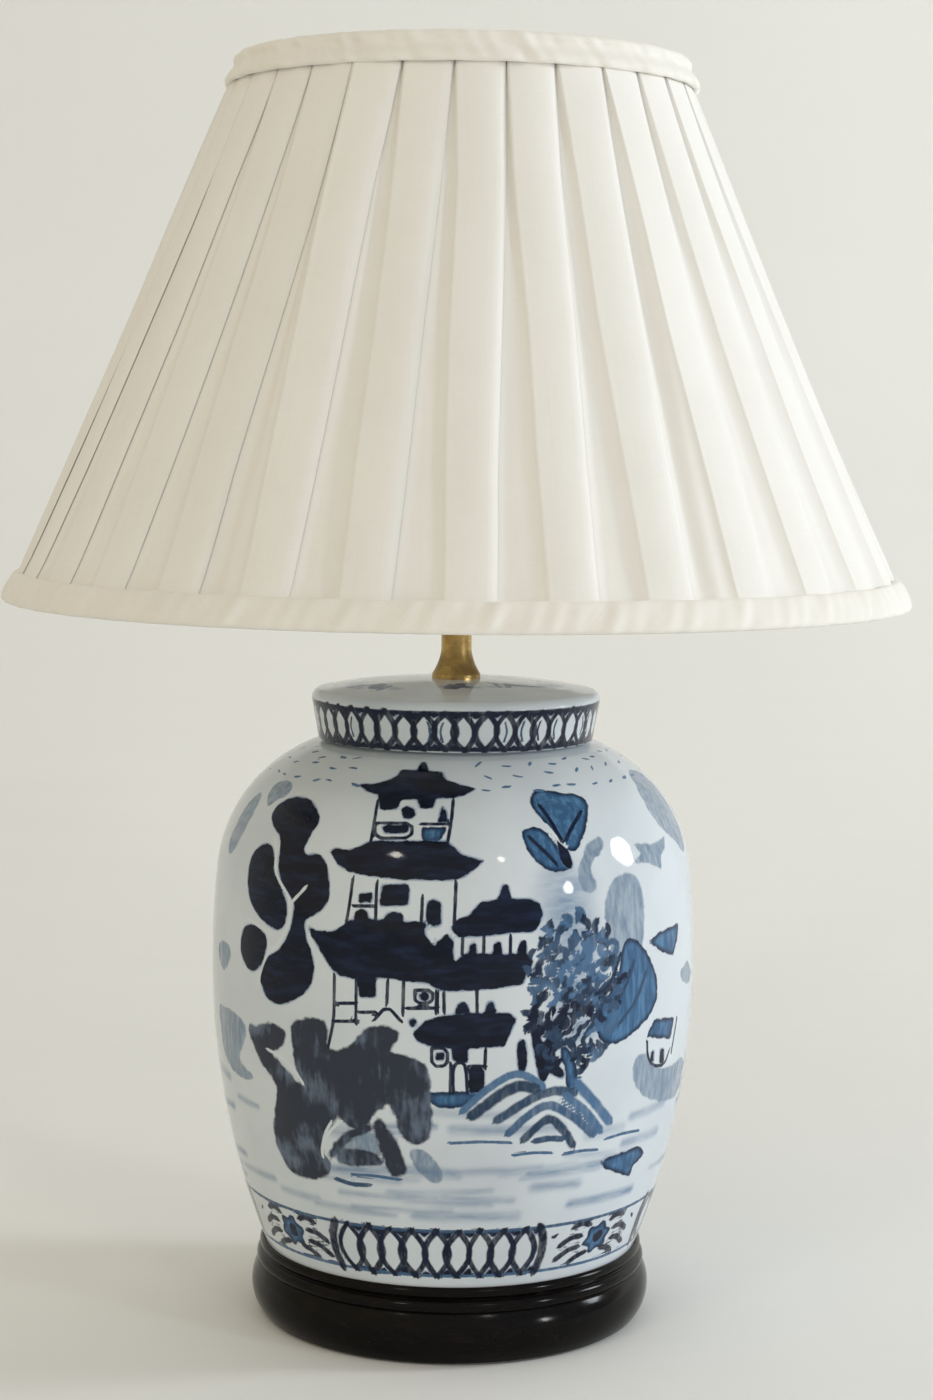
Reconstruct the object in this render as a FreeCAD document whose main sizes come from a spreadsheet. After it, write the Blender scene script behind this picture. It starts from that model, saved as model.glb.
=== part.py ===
import FreeCAD, Part
import Sketcher
import math
import os
from FreeCAD import Placement, Rotation, Vector

# Ginger jar table lamp. Millimetres, +Z up. The origin is the middle of the felt under the stand,
# and the lamp is seen from -Y. Everything is stacked on one vertical threaded tube.

sizes = {
    # wooden stand, felt and cord inlet
    "feltThickness": 1.5, "feltRadius": 92.0,
    "standHeight": 39.0, "standFootRadius": 97.5,
    "footBeadTop": 26.0, "footBeadTopRadius": 99.6, "footBeadCurve": 21.0,
    "middleBeadTop": 32.8, "middleBeadTopRadius": 97.7, "middleBeadCurve": 3.7,
    "beadGroove": 0.7, "topBeadCurve": 3.2, "lipWidth": 0.5,
    "seatDepth": 2.0, "seatClearance": 1.1,
    "nutRecessRadius": 32.0, "nutRecessTop": 14.0,
    "inletLevel": 10.0, "grommetBore": 3.6, "grommetWall": 1.5, "grommetLength": 14.0,
    "grommetFlangeRadius": 6.8, "grommetFlange": 3.0, "grommetProud": 0.2, "inletClearance": 0.1,
    # threaded tube and its fastenings
    "tubeRadius": 5.0, "tubeBore": 3.8, "tubeTail": 4.0, "tubeThread": 8.0, "boreClearance": 0.4,
    "threadClearance": 0.05, "nutAcross": 17.0, "nutHeight": 5.0, "washerRadius": 13.0,
    "washerThickness": 1.6,
    # jar: levels are heights above its seat
    "jarFootRadius": 95.4, "jarFootRing": 9.0, "jarFootHeight": 4.0, "jarFloor": 6.0,
    "jarWall": 6.0, "jarBellyRadius": 123.4, "jarBellyLevel": 143.0, "jarFootCurve": 378.0,
    "jarWaistRadius": 120.9, "jarWaistLevel": 193.0, "jarWaistCurve": 460.0,
    "jarShoulderRadius": 74.9, "jarShoulderLevel": 257.0, "jarShoulderCurve": 76.0,
    "jarNeckRadius": 64.5, "jarNeckLevel": 259.3, "jarNeckHeight": 15.7, "jarNeckWall": 5.0,
    "jarHoleRadius": 6.5, "corkRadius": 40.0,
    # lid
    "lidSkirtRadius": 69.9, "lidSkirtGap": 0.9, "lidSkirtHeight": 20.4, "lidFlare": 3.6,
    "lidRimCurve": 4.8, "lidRimInset": 3.4, "lidRimRise": 4.4, "lidStepRadius": 59.0,
    "lidStepRise": 1.9, "lidCrownRise": 3.6, "lidCrownCurve": 420.0, "lidBossRadius": 15.0,
    "lidClearance": 0.8, "lidRoof": 6.5, "lidRoofRadius": 57.0,
    # brass neck
    "neckFootRadius": 12.3, "neckFootLip": 2.2, "neckWaistRadius": 7.7, "neckFlareHeight": 14.5,
    "neckFlareCurve": 27.0, "neckHeight": 38.6, "neckCollarRadius": 10.5, "neckCollar": 3.0,
    "neckCollarTaper": 5.0, "gasketThickness": 1.0, "gasketInset": 1.2,
    # lampholder with push-bar switch
    "capRadius": 17.5, "capHeight": 22.0, "capFoot": 4.0, "capFootRadius": 11.0, "capWall": 1.5,
    "blockClearance": 0.3, "barLevel": 16.0, "barRadius": 2.0, "barLength": 47.0,
    "barClearance": 0.08, "barWindow": 0.6, "knobRadius": 3.2, "knobLength": 3.0, "barTravel": 5.0,
    "shellRadius": 14.4, "shellWall": 1.4, "shellHeight": 36.0, "shellFlange": 3.0,
    "shellFlangeLevel": 5.0, "insertFloor": 14.0, "plungerRadius": 2.0, "plungerSpread": 5.0,
    "plungerHeight": 4.5, "screwRadius": 1.8, "screwLength": 2.5,
    # bulb
    "bulbCapRadius": 11.0, "bulbCapHeight": 22.0, "bulbRadius": 30.0, "bulbHeight": 78.0,
    "bulbShoulder": 24.0, "bulbShoulderRadius": 20.0, "bulbShoulderCurve": 48.0,
    "glassWall": 0.8, "glassTuck": 6.0, "pinRadius": 1.0, "pinReach": 1.7, "pinLevel": 7.5, "capDisc": 2.0,
    "stemRadius": 3.5, "stemHeight": 16.0, "filamentRadius": 0.9, "filamentHeight": 30.0,
    "filamentSpread": 6.0, "stemPlate": 1.0, "stemPlateRadius": 7.5, "filamentCount": 4.0,
    # shade carrier
    "carrierRingRadius": 20.0, "carrierRing": 2.0, "shadeRingHeight": 6.0, "shadeRingRadius": 19.0,
    "carrierWire": 1.6, "carrierFootReach": 36.7, "carrierReach": 48.0, "carrierElbow": 34.0,
    "carrierShoulder": 60.0, "carrierThroat": 31.0, "carrierArmSeat": 2.4,
    "bossRadius": 14.3, "bossWall": 3.0, "bossFlange": 3.7, "bossSkirt": 11.0,
    "bossFlangeRadius": 18.0, "bossNut": 6.0, "bossTop": 1.0, "runningGap": 0.3, "runningFit": 0.08,
    # gimbal
    "gimbalLevel": 602.0, "gimbalHeight": 4.0, "innerRingRadius": 21.0, "outerRingRadius": 28.0,
    "outerRingBore": 23.4, "pinSize": 1.2, "pinSocket": 4.0, "pinHead": 2.4, "pinHeadLength": 1.5,
    "armRadius": 1.6,
    # pleated shade: offsets are measured square to its slope
    "shadeBottom": 366.8, "shadeHeight": 269.6, "shadeBottomRadius": 228.6,
    "shadeTopRadius": 111.7, "strutCount": 6.0, "strutTurn": -25.4, "pleatsPerPanel": 5.0,
    "pleatWidth": 23.4, "pleatTopGap": 0.5, "pleatOffset": 1.5, "pleatDepth": 1.8,
    "pleatInner": 5.1, "strutOffset": 7.3, "strutRadius": 1.5, "ringWire": 2.0,
    "weldGap": 0.1, "liningOffset": 9.5, "liningThickness": 0.8, "trimThickness": 1.4,
    "trimWidth": 14.5, "trimHem": 9.0, "trimLayGap": 0.1,
}

doc = FreeCAD.newDocument("GingerJarLamp")
sheet = doc.addObject("Spreadsheet::Sheet", "Sizes")
for row, (alias, number) in enumerate(sizes.items(), start=1):
    sheet.set(f"A{row}", str(number))
    sheet.setAlias(f"A{row}", alias)
doc.recompute()


class Term:
    """A value together with the sheet's formula for it."""

    def __init__(self, value, text):
        self.value = value
        self.text = text

    def __add__(self, other):
        other = asTerm(other)
        return Term(self.value + other.value, f"({self.text} + {other.text})")

    def __sub__(self, other):
        other = asTerm(other)
        return Term(self.value - other.value, f"({self.text} - {other.text})")

    def __mul__(self, other):
        other = asTerm(other)
        return Term(self.value * other.value, f"({self.text} * {other.text})")

    def __truediv__(self, other):
        other = asTerm(other)
        return Term(self.value / other.value, f"({self.text} / {other.text})")


def asTerm(number):
    """Wrap a plain number, and leave a Term alone."""
    return number if isinstance(number, Term) else Term(float(number), str(float(number)))


def root(term):
    """Square root of a Term."""
    return Term(math.sqrt(term.value), f"sqrt({term.text})")


def size(alias):
    """The sheet's cell of that alias."""
    return Term(float(getattr(sheet, alias)), f"Sizes.{alias}")


def cell(alias):
    """The plain number in the sheet's cell of that alias."""
    return float(getattr(sheet, alias))


# ---- corners of a turned outline, which runs anticlockwise in radius and level

def corner(radius, level):
    """A corner reached by a straight edge."""
    return asTerm(radius), asTerm(level), None, 0


def bulge(radius, level, curve):
    """A corner reached by an arc that swells away from the material."""
    return asTerm(radius), asTerm(level), asTerm(curve), 1


def hollow(radius, level, curve):
    """A corner reached by an arc that bites into the material."""
    return asTerm(radius), asTerm(level), asTerm(curve), -1


def arcBetween(start, end, radius, side):
    """The short arc from start to end, with its centre to the left of travel for side 1."""
    chord = end - start
    middle = (start + end) * 0.5
    square = Vector(-chord.y, chord.x, 0).normalize()
    rise = math.sqrt(max(radius ** 2 - (chord.Length / 2) ** 2, 0))
    centre = middle + square * (rise * side)
    circle = Part.Circle(centre, Vector(0, 0, 1), radius)
    first, last = (start, end) if side > 0 else (end, start)
    turns = [math.atan2(point.y - centre.y, point.x - centre.x) for point in (first, last)]
    return Part.ArcOfCircle(circle, turns[0], turns[1])


def planeOf(body, role):
    """A body's own origin plane."""
    return [item for item in body.Origin.OriginFeatures if item.Role == role][0]


def pin(sketch, edge, end, radius, level):
    """Hold a sketch point at a distance from both axes, bound to the sheet."""
    for kind, term, axis in (("DistanceX", radius, -2), ("DistanceY", level, -1)):
        if abs(term.value) < 1e-9:
            sketch.addConstraint(Sketcher.Constraint("PointOnObject", edge, end, axis))
            continue
        held = sketch.addConstraint(Sketcher.Constraint(kind, -1, 1, edge, end, term.value))
        sketch.setExpression(f"Constraints[{held}]", term.text)


def turned(node, outline):
    """A body turned about the lamp's axis from corners that run round its half section."""
    body = doc.addObject("PartDesign::Body", "Turned")
    sketch = body.newObject("Sketcher::SketchObject", "HalfSection")
    sketch.AttachmentSupport = [(planeOf(body, "XZ_Plane"), "")]
    sketch.MapMode = "FlatFace"
    points = [Vector(radius.value, level.value, 0) for radius, level, curve, side in outline]
    starts = []
    ends = []
    for index in range(len(outline)):
        radius, level, curve, side = outline[(index + 1) % len(outline)]
        start, end = points[index], points[(index + 1) % len(outline)]
        if curve is None:
            sketch.addGeometry(Part.LineSegment(start, end), False)
        else:
            sketch.addGeometry(arcBetween(start, end, curve.value, side), False)
        starts.append(2 if side < 0 else 1)
        ends.append(1 if side < 0 else 2)
    for index in range(len(outline)):
        after = (index + 1) % len(outline)
        sketch.addConstraint(Sketcher.Constraint("Coincident", index, ends[index], after, starts[after]))
    for index, (radius, level, curve, side) in enumerate(outline):
        pin(sketch, index, starts[index], radius, level)
        if curve is not None:
            before = (index - 1) % len(outline)
            held = sketch.addConstraint(Sketcher.Constraint("Radius", before, curve.value))
            sketch.setExpression(f"Constraints[{held}]", curve.text)
    turning = body.newObject("PartDesign::Revolution", "Turning")
    turning.Profile = sketch
    turning.ReferenceAxis = (sketch, ["V_Axis"])
    turning.Angle = 360
    body.Label = node
    return body


def collar(node, bore, radius, bottom, top):
    """A plain ring, or a disc when the bore is nought."""
    return turned(node, [corner(bore, bottom), corner(radius, bottom), corner(radius, top), corner(bore, top)])


facing = {
    "x": Rotation(Vector(0, 0, 1), Vector(1, 0, 0)),
    "y": Rotation(Vector(0, 0, 1), Vector(0, 1, 0)),
    "z": Rotation(),
}


def rod(name, radius, length, start, axis):
    """A round rod that starts at the given terms and runs along one axis."""
    cylinder = doc.addObject("Part::Cylinder", name)
    cylinder.setExpression("Radius", asTerm(radius).text)
    cylinder.setExpression("Height", asTerm(length).text)
    cylinder.Placement = Placement(Vector(), facing[axis])
    for letter, term in zip("xyz", start):
        cylinder.setExpression(f"Placement.Base.{letter}", asTerm(term).text)
    return cylinder


def slab(name, lengths, start):
    """A box with its lowest corner at the given terms."""
    box = doc.addObject("Part::Box", name)
    for side, term in zip(("Length", "Width", "Height"), lengths):
        box.setExpression(side, asTerm(term).text)
    for letter, term in zip("xyz", start):
        box.setExpression(f"Placement.Base.{letter}", asTerm(term).text)
    return box


def carved(node, base, tools):
    """Base with every tool taken out of it."""
    for tool in tools:
        cut = doc.addObject("Part::Cut", "Carved")
        cut.Base = base
        cut.Tool = tool
        base = cut
    base.Label = node
    return base


def joined(node, pieces):
    """Pieces fused into one solid."""
    fuse = doc.addObject("Part::MultiFuse", "Joined")
    fuse.Shapes = pieces
    fuse.Refine = True
    fuse.Label = node
    return fuse


def gathered(node, pieces):
    """Separate solids kept in one node."""
    group = doc.addObject("Part::Compound", "Group")
    group.Links = pieces
    group.Label = node
    return group


def freeShape(node, shape):
    """A shape that no body or primitive describes."""
    feature = doc.addObject("Part::Feature", "Shape")
    feature.Shape = shape
    feature.Placement = Placement()
    feature.Label = node
    return feature


# ---- levels and radii that several pieces share

tube = size("tubeRadius")
freeBore = tube + size("boreClearance")
jarSeat = size("standHeight") - size("seatDepth")
jarFloorUnder = jarSeat + size("jarFootHeight")
neckTop = jarSeat + size("jarNeckLevel") + size("jarNeckHeight")
lidBottom = jarSeat + size("jarNeckLevel") + size("lidSkirtGap")
lidRim = lidBottom + size("lidSkirtHeight")
lidShoulder = lidRim + size("lidRimRise")
lidTop = lidShoulder + size("lidStepRise") + size("lidCrownRise")
holderBottom = lidTop + size("neckHeight")
shellBottom = holderBottom + size("capHeight")
shellFlangeTop = shellBottom + size("shellFlangeLevel") + size("shellFlange")
shellTop = shellBottom + size("shellHeight")
barHeight = holderBottom + size("barLevel")
insertBottom = shellBottom + size("blockClearance")
insertFloorTop = insertBottom + size("insertFloor")
bulbBottom = insertFloorTop + size("plungerHeight")
glassBottom = bulbBottom + size("bulbCapHeight")
stemPlateTop = glassBottom + size("stemHeight")
shellBore = size("shellRadius") - size("shellWall")
carrierRingTop = shellFlangeTop + size("carrierRing")
gimbalUnder = size("gimbalLevel") - size("gimbalHeight") / 2
gimbalOver = size("gimbalLevel") + size("gimbalHeight") / 2
flangeTop = gimbalUnder - size("runningGap")
nutUnder = gimbalOver + size("runningGap")
bossBottom = flangeTop - size("bossFlange") - size("bossSkirt")


# ---- base

def woodenStand():
    """Turned plinth of three beads, with a seat for the jar and a recess for the nut."""
    felt = size("feltThickness")
    seatRadius = size("jarFootRadius") + size("seatClearance")
    groove = size("beadGroove")
    blank = turned("stand blank", [
        corner(freeBore, size("nutRecessTop")),
        corner(size("nutRecessRadius"), size("nutRecessTop")),
        corner(size("nutRecessRadius"), felt),
        corner(size("standFootRadius"), felt),
        bulge(size("footBeadTopRadius"), size("footBeadTop"), size("footBeadCurve")),
        corner(size("footBeadTopRadius") - groove, size("footBeadTop") + groove),
        bulge(size("middleBeadTopRadius"), size("middleBeadTop"), size("middleBeadCurve")),
        corner(size("middleBeadTopRadius") - groove, size("middleBeadTop") + groove),
        bulge(seatRadius + size("lipWidth"), size("standHeight"), size("topBeadCurve")),
        corner(seatRadius, size("standHeight")),
        corner(seatRadius, jarSeat),
        corner(freeBore, jarSeat),
    ])
    inletRadius = size("grommetBore") + size("grommetWall") + size("inletClearance")
    channel = rod("inletChannel", inletRadius, size("standFootRadius") * 2, (0, 0, size("inletLevel")), "y")
    counterRadius = size("grommetFlangeRadius") + size("inletClearance")
    counterbore = rod("inletCounterbore", counterRadius, size("standFootRadius"),
                      (0, grommetFace() - size("grommetFlange"), size("inletLevel")), "y")
    return carved("wooden_stand", blank, [channel, counterbore])


def grommetFace():
    """Distance from the axis to the grommet's outer face, just proud of the foot bead's swell."""
    low = size("feltThickness")
    across = size("footBeadTopRadius") - size("standFootRadius")
    climb = size("footBeadTop") - low
    chord = root(across * across + climb * climb)
    curve = size("footBeadCurve")
    rise = root(curve * curve - chord * chord / 4)
    centreRadius = (size("standFootRadius") + size("footBeadTopRadius")) / 2 - climb / chord * rise
    centreLevel = (low + size("footBeadTop")) / 2 + across / chord * rise
    drop = size("inletLevel") - centreLevel
    return centreRadius + root(curve * curve - drop * drop) + size("grommetProud")


def cordGrommet():
    """Flanged bush that lines the cord's hole at the back of the stand."""
    level = size("inletLevel")
    face = grommetFace()
    sleeve = rod("grommetSleeve", size("grommetBore") + size("grommetWall"), size("grommetLength"),
                 (0, face - size("grommetLength"), level), "y")
    flange = rod("grommetFlangeDisc", size("grommetFlangeRadius"), size("grommetFlange"),
                 (0, face - size("grommetFlange"), level), "y")
    bore = rod("grommetHole", size("grommetBore"), size("grommetLength"),
               (0, face - size("grommetLength"), level), "y")
    return carved("cord_grommet", joined("grommet blank", [sleeve, flange]), [bore])


def hexNut():
    """Hexagon nut that pulls the whole stack together under the stand."""
    top = size("nutRecessTop") - size("washerThickness")
    body = doc.addObject("PartDesign::Body", "BottomNut")
    sketch = body.newObject("Sketcher::SketchObject", "NutOutline")
    sketch.AttachmentSupport = [(planeOf(body, "XY_Plane"), "")]
    sketch.MapMode = "FlatFace"
    cornerRadius = cell("nutAcross") / math.sqrt(3)
    corners = [Vector(cornerRadius * math.cos(math.radians(60 * side)),
                      cornerRadius * math.sin(math.radians(60 * side)), 0) for side in range(6)]
    for side in range(6):
        sketch.addGeometry(Part.LineSegment(corners[side], corners[(side + 1) % 6]), False)
    for side in range(6):
        sketch.addConstraint(Sketcher.Constraint("Coincident", side, 2, (side + 1) % 6, 1))
    for side in range(1, 6):
        sketch.addConstraint(Sketcher.Constraint("Equal", 0, side))
    ring = sketch.addGeometry(Part.Circle(Vector(), Vector(0, 0, 1), cornerRadius), True)
    for side in range(6):
        sketch.addConstraint(Sketcher.Constraint("PointOnObject", side, 1, ring))
    sketch.addConstraint(Sketcher.Constraint("Coincident", ring, 3, -1, 1))
    sketch.addConstraint(Sketcher.Constraint("PointOnObject", 0, 1, -1))
    held = sketch.addConstraint(Sketcher.Constraint("Radius", ring, cornerRadius))
    sketch.setExpression(f"Constraints[{held}]", "Sizes.nutAcross / sqrt(3)")
    hole = sketch.addGeometry(Part.Circle(Vector(), Vector(0, 0, 1), cell("tubeRadius")), False)
    sketch.addConstraint(Sketcher.Constraint("Coincident", hole, 3, -1, 1))
    bore = tube + size("threadClearance")
    held = sketch.addConstraint(Sketcher.Constraint("Radius", hole, bore.value))
    sketch.setExpression(f"Constraints[{held}]", bore.text)
    bottom = top - size("nutHeight")
    sketch.setExpression("AttachmentOffset.Base.z", bottom.text)
    pad = body.newObject("PartDesign::Pad", "NutPad")
    pad.Profile = sketch
    pad.setExpression("Length", "Sizes.nutHeight")
    body.Label = "bottom_nut"
    return body


def base():
    """Stand, felt, grommet, cork pad and the tube with its nut and washer."""
    recessTop = size("nutRecessTop")
    tubeTop = holderBottom + size("tubeThread")
    return [
        woodenStand(),
        collar("base_felt", 0, size("feltRadius"), 0, size("feltThickness")),
        cordGrommet(),
        hexNut(),
        collar("bottom_washer", freeBore, size("washerRadius"), recessTop - size("washerThickness"), recessTop),
        collar("threaded_tube", size("tubeBore"), tube, size("tubeTail"), tubeTop),
        collar("cork_pad", freeBore, size("corkRadius"), jarSeat, jarFloorUnder),
    ]


# ---- jar, lid and brass neck

def jarBody():
    """Thrown jar: a foot ring, a high belly, a round shoulder and a short neck under the lid."""
    wall = size("jarWall")
    floorTop = jarFloorUnder + size("jarFloor")
    neckLevel = jarSeat + size("jarNeckLevel")
    neckBore = size("jarNeckRadius") - size("jarNeckWall")
    bellyLevel = jarSeat + size("jarBellyLevel")
    waistLevel = jarSeat + size("jarWaistLevel")
    shoulderLevel = jarSeat + size("jarShoulderLevel")
    footRing = size("jarFootRadius") - size("jarFootRing")
    return turned("jar_body", [
        corner(size("jarHoleRadius"), jarFloorUnder),
        corner(footRing, jarFloorUnder),
        corner(footRing, jarSeat),
        corner(size("jarFootRadius"), jarSeat),
        bulge(size("jarBellyRadius"), bellyLevel, size("jarFootCurve")),
        bulge(size("jarWaistRadius"), waistLevel, size("jarWaistCurve")),
        bulge(size("jarShoulderRadius"), shoulderLevel, size("jarShoulderCurve")),
        corner(size("jarNeckRadius"), neckLevel),
        corner(size("jarNeckRadius"), neckTop),
        corner(neckBore, neckTop),
        corner(neckBore, neckLevel - wall),
        corner(size("jarShoulderRadius") - wall / 2, shoulderLevel - wall),
        hollow(size("jarWaistRadius") - wall, waistLevel, size("jarShoulderCurve") - wall),
        hollow(size("jarBellyRadius") - wall, bellyLevel, size("jarWaistCurve") - wall),
        hollow(size("jarFootRadius") - wall, floorTop, size("jarFootCurve") - wall),
        corner(size("jarHoleRadius"), floorTop),
    ])


def jarLid():
    """Flared cap whose skirt drops over the jar's neck, with a slightly stepped crown."""
    skirtBore = size("jarNeckRadius") + size("lidClearance")
    rimRadius = size("lidSkirtRadius") + size("lidFlare")
    stepLevel = lidShoulder + size("lidStepRise")
    return turned("jar_lid", [
        corner(skirtBore, lidBottom),
        corner(size("lidSkirtRadius"), lidBottom),
        corner(rimRadius, lidRim),
        bulge(rimRadius - size("lidRimInset"), lidShoulder, size("lidRimCurve")),
        corner(size("lidStepRadius"), stepLevel),
        bulge(size("lidBossRadius"), lidTop, size("lidCrownCurve")),
        corner(freeBore, lidTop),
        corner(freeBore, lidTop - size("lidRoof")),
        corner(size("lidRoofRadius"), stepLevel - size("lidRoof")),
        corner(size("lidRoofRadius"), neckTop),
        corner(skirtBore, neckTop),
    ])


def brassNeck():
    """Bell-footed brass spacer between the lid and the lampholder."""
    foot = size("neckFootRadius")
    collarUnder = holderBottom - size("neckCollar")
    recess = foot - size("gasketInset")
    return turned("brass_neck", [
        corner(recess, lidTop),
        corner(foot, lidTop),
        corner(foot, lidTop + size("neckFootLip")),
        hollow(size("neckWaistRadius"), lidTop + size("neckFlareHeight"), size("neckFlareCurve")),
        corner(size("neckWaistRadius"), collarUnder - size("neckCollarTaper")),
        corner(size("neckCollarRadius"), collarUnder),
        corner(size("neckCollarRadius"), holderBottom),
        corner(freeBore, holderBottom),
        corner(freeBore, lidTop + size("gasketThickness")),
        corner(recess, lidTop + size("gasketThickness")),
    ])


def jar():
    """The ceramic pieces and what stands on them."""
    gasketRadius = size("neckFootRadius") - size("gasketInset")
    return [
        jarBody(),
        jarLid(),
        brassNeck(),
        collar("neck_gasket", freeBore, gasketRadius - size("threadClearance"), lidTop,
               lidTop + size("gasketThickness")),
    ]


# ---- lampholder and its push-bar switch

def lampholderCap():
    """Brass bottom cap, screwed on the tube, with a window each side for the switch bar."""
    wall = size("capWall")
    footTop = holderBottom + size("capFoot")
    blank = turned("cap blank", [
        corner(tube + size("threadClearance"), holderBottom),
        corner(size("capFootRadius"), holderBottom),
        corner(size("capRadius"), footTop),
        corner(size("capRadius"), shellBottom),
        corner(size("capRadius") - wall, shellBottom),
        corner(size("capRadius") - wall, footTop + wall),
        corner(tube + size("threadClearance"), footTop + wall),
    ])
    windowRadius = size("barRadius") + size("barWindow")
    window = rod("capWindow", windowRadius, size("capRadius") * 4, (size("capRadius") * -2, 0, barHeight), "x")
    return carved("lampholder_cap", blank, [window])


def switchBlock():
    """Moulded block inside the cap, bored for the bar."""
    top = shellBottom - size("blockClearance")
    bottom = holderBottom + size("tubeThread") + size("blockClearance")
    radius = size("capRadius") - size("capWall") - size("blockClearance")
    blank = collar("block blank", 0, radius, bottom, top)
    bore = rod("blockBore", size("barRadius") + size("barClearance"), size("capRadius") * 4,
               (size("capRadius") * -2, 0, barHeight), "x")
    return carved("switch_block", blank, [bore])


def switchBar():
    """Bar pushed from one side to light the lamp and from the other to put it out."""
    start = size("barLength") * -0.5 - size("barTravel") / 2
    bar = rod("barRod", size("barRadius"), size("barLength"), (start, 0, barHeight), "x")
    leftKnob = rod("barLeftKnob", size("knobRadius"), size("knobLength"), (start, 0, barHeight), "x")
    rightKnob = rod("barRightKnob", size("knobRadius"), size("knobLength"),
                    (start + size("barLength") - size("knobLength"), 0, barHeight), "x")
    return joined("switch_bar", [bar, leftKnob, rightKnob])


def lampholderShell():
    """Threaded brass skirt with the flange that carries the shade carrier."""
    flangeRadius = size("capRadius")
    return turned("lampholder_shell", [
        corner(shellBore, shellBottom),
        corner(flangeRadius, shellBottom),
        corner(flangeRadius, shellFlangeTop),
        corner(size("shellRadius"), shellFlangeTop),
        corner(size("shellRadius"), shellTop),
        corner(shellBore, shellTop),
    ])


def lampholderInsert():
    """Moulded inner cup with bayonet slots, over the two contact plungers."""
    outer = shellBore - size("blockClearance")
    bore = size("bulbCapRadius") + size("blockClearance")
    top = shellTop - size("blockClearance")
    blank = turned("insert blank", [
        corner(0, insertBottom),
        corner(outer, insertBottom),
        corner(outer, top),
        corner(bore, top),
        corner(bore, insertFloorTop),
        corner(0, insertFloorTop),
    ])
    slotWidth = (size("pinRadius") + size("blockClearance")) * 2
    slotBottom = bulbBottom + size("pinLevel") - slotWidth / 2
    slot = slab("bayonetSlot", (slotWidth, outer * 2, size("shellHeight")),
                (slotWidth * -0.5, outer * -1, slotBottom))
    wells = [rod(f"plungerWell{side}", size("plungerRadius") + size("boreClearance"), size("insertFloor"),
                 (size("plungerSpread") * side, 0, insertBottom), "z") for side in (-1, 1)]
    return carved("lampholder_insert", blank, [slot] + wells)


def plungers():
    """The two sprung contacts."""
    pair = [rod(f"plunger{side}", size("plungerRadius"), size("insertFloor") + size("plungerHeight"),
                (size("plungerSpread") * side, 0, insertBottom), "z") for side in (-1, 1)]
    return gathered("contact_plungers", pair)


def terminalScrews():
    """Two screws that clamp the wires against the switch block, heads down."""
    top = holderBottom + size("tubeThread") + size("blockClearance")
    spread = size("plungerSpread") * 2
    pair = [rod(f"terminalScrew{side}", size("screwRadius"), size("screwLength"),
                (0, spread * side, top - size("screwLength")), "z") for side in (-1, 1)]
    return gathered("terminal_screws", pair)


def lampholder():
    """Everything between the brass neck and the bulb."""
    ringBore = size("shellRadius") + size("threadClearance") * 2
    return [
        lampholderCap(), switchBlock(), switchBar(), lampholderShell(), lampholderInsert(), plungers(),
        terminalScrews(),
        collar("carrier_base_ring", ringBore, size("carrierRingRadius"), shellFlangeTop, carrierRingTop),
        collar("shade_ring", ringBore, size("shadeRingRadius"), carrierRingTop,
               carrierRingTop + size("shadeRingHeight")),
    ]


# ---- bulb

def bulbGlass():
    """Pear-shaped envelope blown from one wall thickness."""
    wall = size("glassWall")
    neck = size("bulbCapRadius") - wall - size("threadClearance")
    tuck = glassBottom - size("glassTuck")
    widest = glassBottom + size("bulbHeight") - size("bulbRadius")
    shoulder = glassBottom + size("bulbShoulder")
    crown = glassBottom + size("bulbHeight")
    inside = size("bulbRadius") - wall
    return turned("bulb_glass", [
        corner(neck - wall, tuck),
        corner(neck, tuck),
        corner(neck, glassBottom),
        corner(size("bulbShoulderRadius"), shoulder),
        bulge(size("bulbRadius"), widest, size("bulbShoulderCurve")),
        bulge(0, crown, size("bulbRadius")),
        corner(0, crown - wall),
        hollow(inside, widest, inside),
        hollow(size("bulbShoulderRadius") - wall, shoulder, size("bulbShoulderCurve") - wall),
        corner(neck - wall, glassBottom),
    ])


def bulbCap():
    """Metal cap with the two side pins that lock in the bayonet slots."""
    shell = turned("cap shell", [
        corner(size("bulbCapRadius") - size("glassWall"), bulbBottom + size("capDisc")),
        corner(size("bulbCapRadius"), bulbBottom + size("capDisc")),
        corner(size("bulbCapRadius"), glassBottom),
        corner(size("bulbCapRadius") - size("glassWall"), glassBottom),
    ])
    length = size("pinReach") + size("glassWall")
    level = bulbBottom + size("pinLevel")
    inner = size("bulbCapRadius") - size("glassWall")
    pins = [rod("bulbPinBack", size("pinRadius"), length, (0, inner, level), "y"),
            rod("bulbPinFront", size("pinRadius"), length, (0, (inner + length) * -1, level), "y")]
    return joined("bulb_cap", [shell] + pins)


def bulbStem():
    """Glass stem with the little plate that holds the light strips."""
    plate = size("stemPlate")
    return turned("bulb_stem", [
        corner(0, bulbBottom + size("capDisc")),
        corner(size("stemRadius"), bulbBottom + size("capDisc")),
        corner(size("stemRadius"), stemPlateTop - plate),
        corner(size("stemPlateRadius"), stemPlateTop - plate),
        corner(size("stemPlateRadius"), stemPlateTop),
        corner(size("stemRadius"), stemPlateTop),
        corner(size("stemRadius"), stemPlateTop + size("filamentHeight")),
        corner(0, stemPlateTop + size("filamentHeight")),
    ])


def filaments():
    """Upright light strips round the glass stem."""
    count = int(round(cell("filamentCount")))
    strips = []
    for number in range(count):
        turn = 2 * math.pi * (number + 0.5) / count
        place = (size("filamentSpread") * math.cos(turn), size("filamentSpread") * math.sin(turn), stemPlateTop)
        strips.append(rod(f"filamentStrip{number}", size("filamentRadius"), size("filamentHeight"), place, "z"))
    return gathered("bulb_filaments", strips)


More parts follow.
